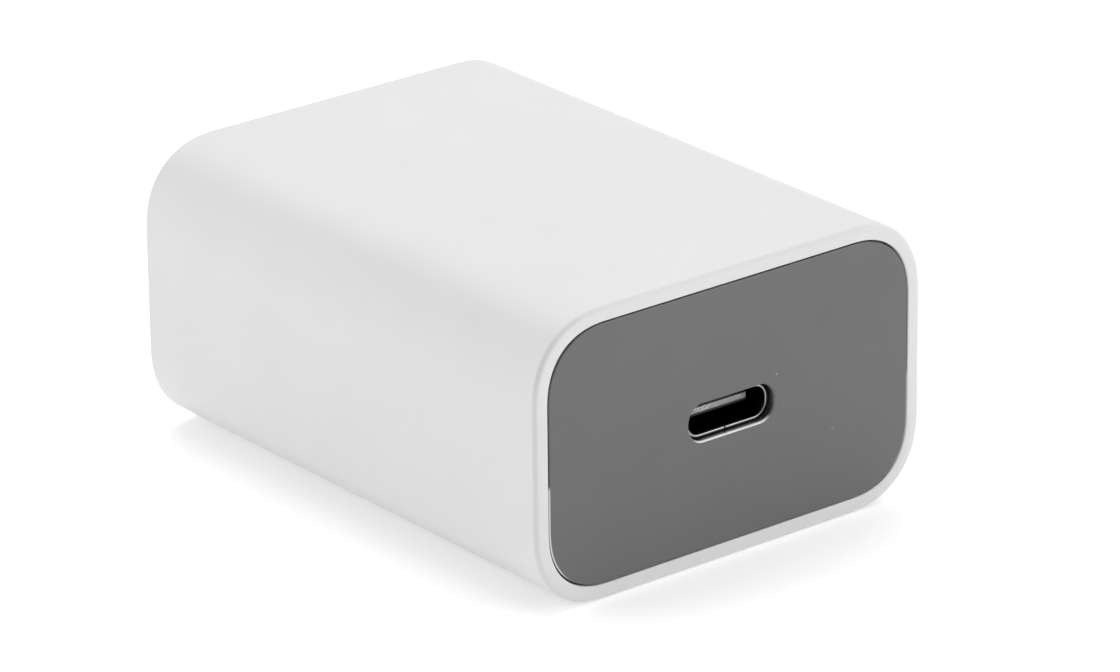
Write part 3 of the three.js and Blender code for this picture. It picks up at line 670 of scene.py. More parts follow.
def end_plate(name, low, high, back_place, skirt):
    """A plate of the housing's section with a skirt that reaches along Y from its back."""
    piece = rounded_block(name, low, high, RIM)
    with editing(piece):
        push_in(back_place, SKIRT_INSET - RIM, 0)
        middle = largest(piece, at_end(back_place))
        pick("faces", lambda face: face.index in middle)
        bpy.ops.mesh.inset(thickness=SKIRT_WALL)
        shape = bmesh.from_edit_mesh(piece.data)
        at_back = [face for face in shape.faces if at_end(back_place)(face)]
        inner = max(at_back, key=lambda face: face.calc_area())
        ring = {face.index for edge in inner.edges for face in edge.link_faces} - {inner.index}
        pick("faces", lambda face: face.index in ring)
        bpy.ops.mesh.extrude_region_move(TRANSFORM_OT_translate={"value": (0, skirt, 0)})
        put_in_order(piece)
    return piece


plate_back = PLATE_FACE + PLATE_THICK
plate = end_plate(
    "front_plate_panel",
    PLATE_LOW,
    (PLATE_HIGH.x, plate_back, PLATE_HIGH.z),
    plate_back,
    PLATE_HIGH.y - plate_back,
)
print("plate:", len(plate.data.polygons), "faces")

# %% [markdown]
# Four wedges on each skirt snap into the sleeve's grooves. A wedge is steep towards its cover, so that it
# holds, and sloped towards the middle of the sleeve, so that it slides in. Each is a small box whose
# leading edge is bevelled almost to its full height.

# %% The snap wedges
WEDGE_HALF_LENGTH = 2.5 * MM
WEDGE_HALF_WIDTH = 0.45 * MM
WEDGE_HEIGHT = 0.4 * MM
WEDGE_ROOT = 0.3 * MM
WEDGE_SLOPE = 0.38 * MM


def snap_wedge(x, y, side, inward):
    """One wedge. inward is the direction along Y to the middle of the sleeve."""
    skirt = CENTRE.z + side * (HEIGHT / 2 - SKIRT_INSET)
    tip = skirt + side * WEDGE_HEIGHT
    inner = (x - WEDGE_HALF_LENGTH, y - WEDGE_HALF_WIDTH, skirt - side * WEDGE_ROOT)
    outer = (x + WEDGE_HALF_LENGTH, y + WEDGE_HALF_WIDTH, tip)
    wedge = block("wedge", *ranged(inner, outer))
    leading = y + inward * WEDGE_HALF_WIDTH
    round_edges(wedge, lambda edge: lies_at(edge, 2, tip) and lies_at(edge, 1, leading), WEDGE_SLOPE, 1)
    return wedge


def snap_wedges(y, inward):
    return [snap_wedge(x, y, side, inward) for x, side in snap_places]


# %% [markdown]
# The socket's opening is cut with a stadium-shaped tool, and a larger stadium behind the plate makes the
# collar that holds the steel shell.

# %% The opening in the plate
SHELL_LOW, SHELL_HIGH = (Vector(corner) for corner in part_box("port_shell"))
SOCKET_MIDDLE = (SHELL_LOW + SHELL_HIGH) / 2
SIDE_GAP = 0.1 * MM
UPPER_GAP = 0.04 * MM
COLLAR_WALL = 1.3 * MM
COLLAR_LENGTH = 2.0 * MM
SIDE_ROUNDNESS = 0.93  # share of the half height, just under 1 so that the two rounds don't meet


def stadium(name, half_width, half_height, front, rear, steps=14):
    """A box about the socket's line with round sides."""
    x, z = SOCKET_MIDDLE.x, SOCKET_MIDDLE.z
    piece = block(name, (x - half_width, front, z - half_height), (x + half_width, rear, z + half_height))
    round_edges(piece, lambda edge: along(edge, 1), half_height * SIDE_ROUNDNESS, steps)
    return piece


opening_half_width = (SHELL_HIGH.x - SHELL_LOW.x) / 2 + SIDE_GAP
opening_half_height = (SHELL_HIGH.z - SHELL_LOW.z) / 2 + UPPER_GAP
collar_end = plate_back + COLLAR_LENGTH
collar = stadium(
    "collar",
    opening_half_width + COLLAR_WALL,
    opening_half_height + COLLAR_WALL,
    plate_back - OVERLAP,
    collar_end,
)
opening = stadium("opening", opening_half_width, opening_half_height, PLATE_FACE - MM, collar_end + MM)
combine(plate, [collar, *snap_wedges(FRONT_SNAP, 1)], "UNION")
combine(plate, [opening], "DIFFERENCE")
tidy(plate)
print("plate:", len(plate.data.polygons), "faces with its opening")

# %% [markdown]
# The opening's front edge is given a fine round, and the plate's own outline a smaller one: on the real
# plate these two edges catch the light as thin lines. The opening's walls are in the dark, so painted shade
# darkens them. The lower edge gets a painted highlight: a pale strip that stands in for the light it
# catches. That painted highlight is where three masks overlap: in the rounded edge, below the middle of
# the socket, and well inside the plate's outline.

# %% The plate's edges, painted highlight and painted shade
OPENING_EDGE = 0.2 * MM
PLATE_EDGE = 0.12 * MM
SOCKET_ROOM = 3 * MM
LIP_HIGHLIGHT_GREY = (0.8, 0.8, 0.8)


def near_socket(edge):
    middle = (edge.verts[0].co + edge.verts[1].co) / 2
    beside = abs(middle.x - SOCKET_MIDDLE.x) < opening_half_width + MM
    return beside and abs(middle.z - SOCKET_MIDDLE.z) < SOCKET_ROOM


def on_face(edge):
    return lies_at(edge, 1, PLATE_FACE) and is_corner(edge)


count = round_edges(plate, lambda edge: on_face(edge) and near_socket(edge), OPENING_EDGE, 5)
print("opening edges:", count)
count = round_edges(plate, lambda edge: on_face(edge) and not near_socket(edge), PLATE_EDGE, 3)
print("outline edges:", count)
smooth(plate)

lower_edge = SOCKET_MIDDLE.z - opening_half_height
tree = grey_plastic.node_tree
# Painted highlight: a pale strip on the opening's lower edge stands in for the light that it catches.
in_edge = depth_mask(tree, PLATE_FACE + 0.05 * OPENING_EDGE, PLATE_FACE + 0.15 * OPENING_EDGE)
below = depth_mask(tree, lower_edge + 2 * OPENING_EDGE, lower_edge, "Z")
inside_outline = depth_mask(tree, PLATE_LOW.z + MM, PLATE_LOW.z + 2 * MM, "Z")
lip_highlight = times(tree, times(tree, in_edge, below), inside_outline)
paint_over(grey_plastic, lip_highlight, LIP_HIGHLIGHT_GREY)
# Painted shade on the opening's walls, darker with the distance behind the plate's face.
paint_socket_shade(grey_plastic, PLATE_FACE + 0.9 * OPENING_EDGE, PLATE_FACE + 1.1 * OPENING_EDGE)
wear(plate, grey_plastic, node="front_plate")

# %% [markdown]
# ## The socket
#
# The shell of a reversible USB socket is one strip of steel, wrapped round until its edges meet, which
# leaves a fine seam along the bottom. It starts as the same stadium as the opening. Its two ends are
# inset by the sheet's thickness and bridged, and a thin tool cuts the seam. Four legs at the back go
# through the small board behind it. Painted shade darkens the steel with the distance into the socket,
# so only its lip stays bright.

# %% The steel shell
SHEET = 0.3 * MM
SEAM = 0.14 * MM
SEAM_OFFSET = 0.2 * MM
OUTER_LIP = 0.14 * MM
INNER_LIP = 0.07 * MM
LEG_REACH = 1.9 * MM
LEG_ROOT = 0.5 * MM
LEG_SPREAD = 2.9 * MM
LEG_HALF_WIDTH = 0.6 * MM
LEG_TIP = 0.35 * MM
SHELL_SHADE_FROM = 0.06 * MM
SHELL_SHADE_FULL = 0.25 * MM
shell_end = SHELL_HIGH.y - LEG_REACH
bright_steel = finish("bright steel", (0.33, 0.33, 0.34), 0.3, metal=1.0, grain=3000, depth=0.003)
# Painted shade inside the shell, darker with the distance behind its lip.
paint_socket_shade(bright_steel, SHELL_LOW.y + SHELL_SHADE_FROM, SHELL_LOW.y + SHELL_SHADE_FULL)


def is_end(face):
    return abs(face.normal.y) > FACING


shell = stadium(
    "socket_shell",
    (SHELL_HIGH.x - SHELL_LOW.x) / 2,
    (SHELL_HIGH.z - SHELL_LOW.z) / 2,
    SHELL_LOW.y,
    shell_end,
)
with editing(shell):
    pick("faces", is_end)
    bpy.ops.mesh.inset(thickness=SHEET)
    bore = largest(shell, is_end, 2)
    pick("faces", lambda face: face.index in bore)
    bpy.ops.mesh.bridge_edge_loops()
round_edges(shell, loop_at(SHELL_LOW.y, outward=True), OUTER_LIP, 3)
round_edges(shell, loop_at(SHELL_LOW.y, outward=False), INNER_LIP, 3)
seam_middle = SOCKET_MIDDLE.x - SEAM_OFFSET
seam = block(
    "seam",
    (seam_middle - SEAM / 2, SHELL_LOW.y - MM, SHELL_LOW.z - MM),
    (seam_middle + SEAM / 2, shell_end + MM, SHELL_LOW.z + 2 * SHEET),
)
legs = []
for side in (-1, 1):
    for low_z in (SHELL_LOW.z, SHELL_HIGH.z - SHEET):
        x = SOCKET_MIDDLE.x + side * LEG_SPREAD
        leg_low = (x - LEG_HALF_WIDTH, shell_end - LEG_ROOT, low_z)
        leg = block("leg", leg_low, (x + LEG_HALF_WIDTH, SHELL_HIGH.y, low_z + SHEET))
        round_edges(leg, lambda edge: lies_at(edge, 1, SHELL_HIGH.y) and along(edge, 2), LEG_TIP, 3)
        legs.append(leg)
combine(shell, [seam], "DIFFERENCE")
combine(shell, legs, "UNION")
smooth(shell)
wear(shell, bright_steel, node="port_shell")

# %% [markdown]
# The tongue is a thin moulded blade in the middle of the shell, carried by a block that fills the shell's
# back end. It is pale grey and worn a little mottled at the front. Painted shade darkens it with the
# distance into the socket, and paints it black just below its middle, where it faces down into the dark.
# Its tip is chamfered so that a plug finds its way on.

# %% The tongue
TONGUE_LOW, TONGUE_HIGH = (Vector(corner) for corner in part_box("port_tongue"))
TONGUE_HALF_WIDTH = 3.345 * MM
TONGUE_HALF_THICK = 0.35 * MM
TONGUE_CORNER = 0.3 * MM
TONGUE_CHAMFER = 0.25 * MM
BASE_LENGTH = 1.7 * MM
BASE_OVERLAP = 0.4 * MM
TONGUE_SHADE_FROM = 0.3 * MM
TONGUE_SHADE_FULL = 0.9 * MM
UNDERSIDE_SHADE_FROM = SOCKET_MIDDLE.z - 0.08 * MM
UNDERSIDE_SHADE_FULL = SOCKET_MIDDLE.z - 0.13 * MM
PALE_WEAR = (0.6, 0.6, 0.58)
pale_moulding = finish("pale grey moulding", (0.36, 0.36, 0.35), 0.4, grain=4000, depth=0.01, drift=0.3)
add_specks(pale_moulding, 6000, 0.5, PALE_WEAR, 0.45)
# Painted shade inside the socket, darker with the distance behind the tongue's tip.
paint_socket_shade(pale_moulding, TONGUE_LOW.y + TONGUE_SHADE_FROM, TONGUE_LOW.y + TONGUE_SHADE_FULL)
# Painted shade: below just under its middle the tongue is painted black, where it faces down into the dark.
underside_shade = depth_mask(pale_moulding.node_tree, UNDERSIDE_SHADE_FROM, UNDERSIDE_SHADE_FULL, "Z")
paint_over(pale_moulding, underside_shade, PAINTED_SOCKET_SHADE)

base_front = TONGUE_HIGH.y - BASE_LENGTH
tongue = block(
    "socket_tongue",
    (SOCKET_MIDDLE.x - TONGUE_HALF_WIDTH, TONGUE_LOW.y, SOCKET_MIDDLE.z - TONGUE_HALF_THICK),
    (SOCKET_MIDDLE.x + TONGUE_HALF_WIDTH, base_front + BASE_OVERLAP, SOCKET_MIDDLE.z + TONGUE_HALF_THICK),
)
round_edges(tongue, lambda edge: lies_at(edge, 1, TONGUE_LOW.y) and along(edge, 2), TONGUE_CORNER, 4)
round_edges(tongue, lambda edge: lies_at(edge, 1, TONGUE_LOW.y), TONGUE_CHAMFER, 1)
base = stadium(
    "base",
    (TONGUE_HIGH.x - TONGUE_LOW.x) / 2,
    (TONGUE_HIGH.z - TONGUE_LOW.z) / 2,
    base_front,
    TONGUE_HIGH.y,
)
combine(tongue, [base], "UNION")
smooth(tongue)
wear(tongue, pale_moulding, node="port_tongue")


# %% [markdown]
# Twelve gold contacts lie on each face of the tongue, and the first, fourth, ninth and last of them,
# which carry the power, reach further forward. Each is a thin box with a rounded front corner, and the
# twelve of one face are joined into one piece.

# %% The contacts
CONTACT_COUNT = 12
CONTACT_PITCH = 0.5 * MM
CONTACT_HALF_WIDTH = 0.13 * MM
CONTACT_LIFT = 0.03 * MM
CONTACT_CORNER = 0.06 * MM
LONG_CONTACTS = (0, 3, 8, 11)
LONG_SETBACK = 0.55 * MM
SHORT_SETBACK = 0.9 * MM
gold_plate = finish("gold plate", (0.5, 0.36, 0.15), 0.4, metal=1.0, grain=5000, depth=0.002)


def contact_strip(index, side):
    """One contact, let in flush with the tongue's face but for a hair."""
    x = SOCKET_MIDDLE.x + (index - (CONTACT_COUNT - 1) / 2) * CONTACT_PITCH
    z = SOCKET_MIDDLE.z + side * TONGUE_HALF_THICK
    front = TONGUE_LOW.y + (LONG_SETBACK if index in LONG_CONTACTS else SHORT_SETBACK)
    low = (x - CONTACT_HALF_WIDTH, front, z - CONTACT_LIFT)
    strip = block("contact", low, (x + CONTACT_HALF_WIDTH, base_front, z + CONTACT_LIFT))
    round_edges(strip, lambda edge: lies_at(edge, 1, front) and along(edge, 2), CONTACT_CORNER, 2)
    return strip


for side, name in ((1, "socket_contacts_upper"), (-1, "socket_contacts_lower")):
    contacts = join(name, [contact_strip(index, side) for index in range(CONTACT_COUNT)])
    smooth(contacts)
    wear(contacts, gold_plate)

# %% [markdown]
# ## The rear cover
#
# The cover carries the plug. A rotor turns in a pocket near one side, and the blades fold flat into two
# slots that run from it. A shallow round scoop crosses the slots near the blades' tips, so that a finger
# can lift them. The cover starts as the same kind of plate with a skirt as the front. A block behind the
# plate holds the pocket, and each hollow is a simple tool that is cut away.

# %% The cover's plate and block
ROTOR_LOW, ROTOR_HIGH = (Vector(corner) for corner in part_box("plug_rotor"))
BLADES = {name: [Vector(corner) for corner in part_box(name)] for name in ("blade_lower", "blade_upper")}
REAR = HIGH.y
BAY_BACK = COVER_LOW.y
BLADE_TIP = BLADES["blade_upper"][0].x
TAIL_REACH = BLADES["blade_upper"][1].x - AXIS.x
SLOT_GAP = 0.22 * MM
SLOT_DEPTH = 6.9 * MM
SLOT_END = BLADE_TIP - 0.5 * MM
SLOT_CORNER = 0.4 * MM
POCKET_HALF = 4.1 * MM
POCKET_CORNER = 0.5 * MM
ROTOR_HALF = 3.3 * MM
STUB_LENGTH = 1.3 * MM
ROTOR_HALF_LENGTH = (ROTOR_HIGH.z - ROTOR_LOW.z) / 2 - STUB_LENGTH
POCKET_HALF_LENGTH = ROTOR_HALF_LENGTH + 0.2 * MM
BAY_HALF_HEIGHT = 10.7 * MM
BAY_LEFT = SLOT_END - 1.2 * MM
BAY_RIGHT = AXIS.x + 6.2 * MM
BAY_CORNER = 0.8 * MM
POST_RADIUS = 2 * MM
SCREWS_X = (AXIS.x - 7.6 * MM, AXIS.x + 7.6 * MM)

cover_back = REAR - COVER_THICK
cover = end_plate(
    "rear_cover_panel",
    (COVER_LOW.x, cover_back, COVER_LOW.z),
    COVER_HIGH,
    cover_back,
    -SKIRT_LENGTH,
)
root = cover_back + OVERLAP
bay = block(
    "bay",
    (BAY_LEFT, BAY_BACK, CENTRE.z - BAY_HALF_HEIGHT),
    (BAY_RIGHT, root, CENTRE.z + BAY_HALF_HEIGHT),
)
round_edges(bay, lambda edge: along(edge, 1), BAY_CORNER, 3)
post = rod("post", POST_RADIUS, (SCREWS_X[1], BAY_BACK, CENTRE.z), (SCREWS_X[1], root, CENTRE.z))
combine(cover, [bay, post, *snap_wedges(REAR_SNAP, -1)], "UNION")
print("cover:", len(cover.data.polygons), "faces before the hollows")

# %% [markdown]
# The hollows are cut from the back to the front of the cover where the rotor turns, and from the outside
# only as deep as a blade needs where the blades fold in. A rod lying across the slots cuts the scoop.

# %% The pocket, the slots and the scoop
TAIL_GAP = 0.4 * MM
TAIL_COVER = 1.6 * MM
SCOOP_RADIUS = 8 * MM
SCOOP_X = BLADE_TIP + 5.2 * MM
SCOOP_Y = REAR + 5.4 * MM
SCOOP_HALF_LENGTH = 9.3 * MM
SCOOP_CORNER = 1.2 * MM
inside = BAY_BACK - MM
outside = REAR + MM


def cutting_box(name, x_range, y_range, z_range, radius=0, steps=6):
    """A box between three pairs of places. Its edges along Y are rounded where a radius is given."""
    tool = block(name, *ranged(*zip(x_range, y_range, z_range)))
    if radius:
        round_edges(tool, lambda edge: along(edge, 1), radius, steps)
    return tool


hollows = [
    cutting_box(
        "pocket",
        (AXIS.x - POCKET_HALF, AXIS.x + POCKET_HALF),
        (inside, outside),
        (CENTRE.z - POCKET_HALF_LENGTH, CENTRE.z + POCKET_HALF_LENGTH),
        POCKET_CORNER,
    )
]
for blade_low, blade_high in BLADES.values():
    slot_y = (REAR - SLOT_DEPTH, outside)
    slot_z = (blade_low.z - SLOT_GAP, blade_high.z + SLOT_GAP)
    hollows.append(cutting_box("slot", (SLOT_END, AXIS.x), slot_y, slot_z, SLOT_CORNER))
    tail_x = (AXIS.x, AXIS.x + TAIL_REACH + TAIL_GAP)
    hollows.append(cutting_box("tail", tail_x, (inside, REAR - TAIL_COVER), slot_z))
scoop = rod(
    "scoop",
    SCOOP_RADIUS,
    (SCOOP_X, SCOOP_Y, CENTRE.z - SCOOP_HALF_LENGTH),
    (SCOOP_X, SCOOP_Y, CENTRE.z + SCOOP_HALF_LENGTH),
    steps=192,
)
round_edges(scoop, lambda edge: is_corner(edge) and not along(edge, 2), SCOOP_CORNER, 8)
hollows.append(scoop)
print("hollows so far:", [tool.name for tool in hollows])

# %% [markdown]
# Two round bearings hold the rotor's stubs, and each has a channel to the back, so that the plug can be
# laid in before the bracket closes it. Behind the thin web of the slots the block is cored out, because
# thick plastic sinks as it cools. Two pilot holes take the bracket's screws. Everything is cut at once.

# %% The bearings, the core and the pilot holes
BEARING_RADIUS = 1.56 * MM
BEARING_ENDS = (8.7 * MM, 10.1 * MM)
CORE_HALF_HEIGHT = 4.2 * MM
CORE_CORNER = 0.6 * MM
CORE_FLOOR = REAR - 4.3 * MM
CORE_X = (SLOT_END + 0.2 * MM, SCREWS_X[0] - 2.2 * MM)
PILOT_RADIUS = 0.75 * MM
PILOT_END = REAR - 3.6 * MM

for side in (-1, 1):
    ends = [CENTRE.z + side * reach for reach in BEARING_ENDS]
    hollows.append(rod("bearing", BEARING_RADIUS, (AXIS.x, AXIS.y, min(ends)), (AXIS.x, AXIS.y, max(ends))))
    sides = (AXIS.x - BEARING_RADIUS, AXIS.x + BEARING_RADIUS)
    hollows.append(cutting_box("channel", sides, (inside, AXIS.y), ends))
core_z = (CENTRE.z - CORE_HALF_HEIGHT, CENTRE.z + CORE_HALF_HEIGHT)
hollows.append(cutting_box("core", CORE_X, (inside, CORE_FLOOR), core_z, CORE_CORNER))
for x in SCREWS_X:
    hollows.append(rod("pilot", PILOT_RADIUS, (x, inside, CENTRE.z), (x, PILOT_END, CENTRE.z), 24))
combine(cover, hollows, "DIFFERENCE")
tidy(cover)
print("cover:", len(cover.data.polygons), "faces with its hollows")

# %% [markdown]
# Only the edges in the cover's outer face are seen and touched, so only they are rounded: a fine round on
# the slots and the pocket, and the same on the outline.

# %% The cover's rounded edges
COVER_EDGE = 0.15 * MM
count = round_edges(cover, lambda edge: lies_at(edge, 1, REAR) and is_corner(edge, 8), COVER_EDGE, 3)
print("rounded", count, "edges of the cover's face")
smooth(cover)
wear(cover, white_plastic, node="rear_cover")

# %% [markdown]
# ## The plug
#
# The rotor is a square bar that fills its pocket while the blades are folded. Three of its long corners
# are well rounded, because they swing past the pocket's walls. The fourth swings only in the open, so it
# stays nearly sharp and closes the gap beside the blades. The blades are moulded in, so the rotor is cut
# to let them through, and it ends in two stubs that turn in the cover's bearings.

# %% The rotor
ROUND_CORNER = 2.3 * MM
SHARP_CORNER = 0.5 * MM
ROTOR_EDGE = 0.15 * MM
STUB_RADIUS = 1.5 * MM
NECK_HALF = 1.7 * MM
NECK_GAP = 0.05 * MM

rotor = block(
    "plug_block",
    (AXIS.x - ROTOR_HALF, AXIS.y - ROTOR_HALF, CENTRE.z - ROTOR_HALF_LENGTH),
    (AXIS.x + ROTOR_HALF, AXIS.y + ROTOR_HALF, CENTRE.z + ROTOR_HALF_LENGTH),
)


def long_corner(sharp):
    """A test for the rotor's long edges: the nearly sharp one, or the other three."""

    def test(edge):
        middle = (edge.verts[0].co + edge.verts[1].co) / 2
        is_sharp = middle.x < AXIS.x and middle.y > AXIS.y
        return along(edge, 2) and is_sharp == sharp

    return test


round_edges(rotor, long_corner(False), ROUND_CORNER, 12)
round_edges(rotor, long_corner(True), SHARP_CORNER, 5)
round_edges(rotor, lambda edge: is_corner(edge, 60), ROTOR_EDGE, 3)
stubs = [
    rod("stub", STUB_RADIUS, (AXIS.x, AXIS.y, end - side * MM), (AXIS.x, AXIS.y, end + side * STUB_LENGTH))
    for side, end in ((-1, CENTRE.z - ROTOR_HALF_LENGTH), (1, CENTRE.z + ROTOR_HALF_LENGTH))
]
for stub in stubs:
    round_edges(stub, lambda edge: is_corner(edge, 60), ROTOR_EDGE, 2)
combine(rotor, stubs, "UNION")
neck_slots = [
    cutting_box(
        "neck slot",
        (AXIS.x - 2 * ROTOR_HALF, AXIS.x + 2 * ROTOR_HALF),
        (AXIS.y - NECK_HALF - NECK_GAP, AXIS.y + NECK_HALF + NECK_GAP),
        (blade_low.z - NECK_GAP, blade_high.z + NECK_GAP),
    )
    for blade_low, blade_high in BLADES.values()
]
combine(rotor, neck_slots, "DIFFERENCE")
tidy(rotor)
smooth(rotor)
wear(rotor, white_plastic, body="plug", node="plug_rotor")

# %% [markdown]
# A blade is a stamped strip of plated brass. Its end is tapered on both faces and its corners are
# rounded, so that it slides into an outlet, and a round hole near the end lets the outlet's spring hold
# it. The taper comes first, while the shape is still simple: the strip is cut across with bisect, and the
# end face is made thinner. Inside the rotor the strip narrows to a neck, and behind it a round tail
# wipes over its spring contact.

# %% The blades
TAPER_LENGTH = 1.6 * MM
TIP_WIDTH = 0.97  # share of the full width
TIP_THICKNESS = 0.5  # share of the full thickness
TIP_CORNER = 1.3 * MM
TIP_SLACK = 0.05 * MM
BLADE_EDGE = 0.16 * MM
SHOULDER = AXIS.x - ROTOR_HALF - 0.1 * MM
HOLE_RADIUS = 1.6 * MM
HOLE_BEYOND_FACE = 11.9 * MM
HOLE_PLACE = AXIS.x - (REAR - AXIS.y) - HOLE_BEYOND_FACE
nickel = (0.62, 0.6, 0.56)
nickel_plate = finish(
    "nickel plate", nickel, 0.27, metal=1.0, grain=1500, depth=0.003, drift=0.08, gloss_drift=0.08
)


def taper_tip(blade, low, high):
    """Cuts the strip across near its end and makes the end face smaller."""
    middle = (low + high) / 2
    with editing(blade):
        pick("faces", lambda face: True)
        bpy.ops.mesh.bisect(plane_co=(low.x + TAPER_LENGTH, 0, 0), plane_no=(1, 0, 0))
        pick("faces", lambda face: face.normal.x < -FACING)
        bpy.ops.transform.resize(
            value=(1, TIP_WIDTH, TIP_THICKNESS),
            center_override=(low.x, middle.y, middle.z),
            orient_type="GLOBAL",
        )


def neck_bar(name, low, high, end):
    """A bar as wide as the neck, from inside the blade's shoulder to one place along X."""
    corner = (SHOULDER - OVERLAP, AXIS.y - NECK_HALF, low.z)
    return block(name, corner, (end, AXIS.y + NECK_HALF, high.z))


def plug_blade(name, low, high):
    blade = block(name, low, (SHOULDER, high.y, high.z))
    taper_tip(blade, low, high)
    round_edges(blade, lambda edge: lies_at(edge, 0, low.x, TIP_SLACK) and not along(edge, 1), TIP_CORNER, 8)
    tail = neck_bar("tail", low, high, AXIS.x + TAIL_REACH)
    disc = rod("disc", TAIL_REACH, (AXIS.x, AXIS.y, low.z - MM), (AXIS.x, AXIS.y, high.z + MM), 96)
    neck = neck_bar("neck", low, high, AXIS.x)
    combine(tail, [disc], "INTERSECT")
    combine(blade, [tail, neck], "UNION")
    hole = rod("hole", HOLE_RADIUS, (HOLE_PLACE, AXIS.y, low.z - MM), (HOLE_PLACE, AXIS.y, high.z + MM), 64)
    combine(blade, [hole], "DIFFERENCE")
    tidy(blade)
    round_edges(blade, lambda edge: is_corner(edge, 50), BLADE_EDGE, 3)
    smooth(blade)
    wear(blade, nickel_plate, body="plug", node=name.replace("plug_", ""))


for name, (low, high) in BLADES.items():
    plug_blade("plug_" + name, low, high)

# %% [markdown]
# ## Inside the housing
#
# Most inner parts have their right shapes already, so they stay as they are and only get their finishes.
# Two small helpers add what tells these materials apart. Bands are the turns of a winding or the grain
# of rolled metal: a wave along one direction that lifts the surface and darkens the grooves. A stripe is
# a plain second colour on one side of a part. `dress` puts a finish on parts of the frame.

# %% Helpers for the inner finishes
def dress(material, *names):
    """Gives parts that are carried over from the frame their finish."""
    for name in names:
        for place in frame["nodes"][name].material_slots:
            place.material = material
    print(material.name, "on", ", ".join(names))


def add_bands(material, direction, pitch, depth, groove):
    """Adds even bands along X, Y or Z, with darker grooves between them."""
    tree = material.node_tree
    shader = tree.nodes["Principled BSDF"]
    place = tree.nodes.new("ShaderNodeTexCoord").outputs["Object"]
    wave = add_node(tree, "ShaderNodeTexWave", Scale=math.pi / (10 * pitch), Distortion=0.3)
    wave.bands_direction = direction
    tree.links.new(place, wave.inputs["Vector"])
    under = shader.inputs["Base Color"].links[0].from_socket
    tint = blend(tree, wave.outputs["Fac"], groove, under)
    tree.links.new(tint, shader.inputs["Base Color"])
    bump = add_node(tree, "ShaderNodeBump", Strength=1.0, Distance=depth)
    tree.links.new(wave.outputs["Fac"], bump.inputs["Height"])
    tree.links.new(shader.inputs["Normal"].links[0].from_socket, bump.inputs["Normal"])
    tree.links.new(bump.outputs["Normal"], shader.inputs["Normal"])


def add_stripe(material, start, end, colour):
    """Paints what lies beyond one place along Y in a second colour."""
    paint_over(material, depth_mask(material.node_tree, start, end), colour)


# %% [markdown]
# The boards are glass fibre under green lacquer, dotted with bright vias. Chips and rectifiers are dull
# black epoxy. The bracket is black nylon with a fine moulded grain.

# %% Boards, chips and bracket
board_green = finish("green board lacquer", (0.02, 0.1, 0.045), 0.3, grain=3500, depth=0.006, drift=0.25)
add_specks(board_green, 330, 0.2, (0.75, 0.68, 0.5), 0.52)
dress(board_green, "main_board", "port_board")
chip_black = finish("black epoxy", (0.018, 0.018, 0.02), 0.55, grain=7000, depth=0.008, drift=0.2)
dress(chip_black, "bridge_rectifier", "power_switch", "output_rectifier", "optocoupler", "port_controller")
bracket_black = finish("black nylon", (0.028, 0.028, 0.03), 0.48, grain=4200, depth=0.012, drift=0.15)
dress(bracket_black, "rotor_bracket")

# %% [markdown]
# The springs are bright bronze with the marks of the press, and the screws are plain plated steel. The
# heat spreader is soft aluminium whose rolling marks run along the housing.

# %% Metal parts
bronze = (0.62, 0.38, 0.2)
spring_bronze = finish("spring bronze", bronze, 0.28, metal=1.0, grain=1800, depth=0.004, drift=0.15)
dress(spring_bronze, "detent_spring", "live_contact", "neutral_contact")
steel = (0.5, 0.5, 0.48)
screw_steel = finish("plated screw steel", steel, 0.32, metal=1.0, grain=2500, depth=0.004, drift=0.12)
dress(screw_steel, "bracket_screw_inner", "bracket_screw_outer")
rolled_aluminium = finish("rolled aluminium", (0.78, 0.78, 0.79), 0.38, metal=1.0, grain=1500, depth=0.003)
add_bands(rolled_aluminium, "X", 0.12 * MM, 0.002 * MM, (0.66, 0.66, 0.67))
dress(rolled_aluminium, "heat_spreader")

# %% [markdown]
# A ferrite core is sintered: dark, dull and a little grainy. The transformer's outer winding is wrapped
# in yellow tape whose layers show as fine steps, on a black bobbin. The choke is wound with bare enamelled
# copper, so its turns show.

# %% Cores and windings
ferrite_grey = finish("sintered ferrite", (0.045, 0.045, 0.048), 0.62, grain=2800, depth=0.02, drift=0.3)
dress(ferrite_grey, "transformer_core_front", "transformer_core_rear", "filter_choke_core")
bobbin_black = finish("bobbin phenolic", (0.03, 0.027, 0.024), 0.5, grain=3600, depth=0.01, drift=0.2)
dress(bobbin_black, "transformer_bobbin")
winding_tape = finish("yellow winding tape", (0.82, 0.58, 0.07), 0.3, grain=1500, depth=0.004, drift=0.12)
add_bands(winding_tape, "Z", 2.6 * MM, 0.02 * MM, (0.7, 0.46, 0.05))
dress(winding_tape, "transformer_winding")
enamelled_copper = finish("enamelled copper", (0.68, 0.27, 0.11), 0.26, metal=1.0, grain=2200, depth=0.003)
add_bands(enamelled_copper, "Z", 0.5 * MM, 0.08 * MM, (0.25, 0.08, 0.03))
dress(enamelled_copper, "filter_choke_winding_left", "filter_choke_winding_right")

# %% [markdown]
# The round capacitors are drawn aluminium cans. The can's top edge is rounded by the press, a bead is
# rolled in near the foot to grip the seal, and two crossed scores in the top let it open safely. The frame
# has them with few sides, so they are modelled again: a cylinder with its edge bevelled, the bead cut with
# a torus and the scores with thin boxes. The two large ones wear a dark film sleeve with a pale stripe on
# the side of one lead.

# %% Round capacitors
SCORE_WIDTH = 0.3 * MM
SCORE_DEPTH = 0.2 * MM
SCORE_REACH = 0.62  # share of the can's radius
CAN_EDGE = 0.5 * MM
BEAD_HEIGHT = 1.9 * MM
BEAD_RADIUS = 0.5 * MM
STRIPE_WIDTH = 1.4 * MM
STRIPE_BLUR = 0.1 * MM
STRIPE_GREY = (0.6, 0.62, 0.66)


def bead_tool(middle, height, radius):
    """A ring whose inner side sinks into the can."""
    bpy.ops.object.select_all(action="DESELECT")
    bpy.ops.mesh.primitive_torus_add(
        location=(middle.x, middle.y, height),
        major_segments=64,
        minor_segments=16,
        major_radius=radius + BEAD_RADIUS / 3,
        minor_radius=BEAD_RADIUS,
    )
    bead = bpy.context.active_object
    settle(bead)
    return bead


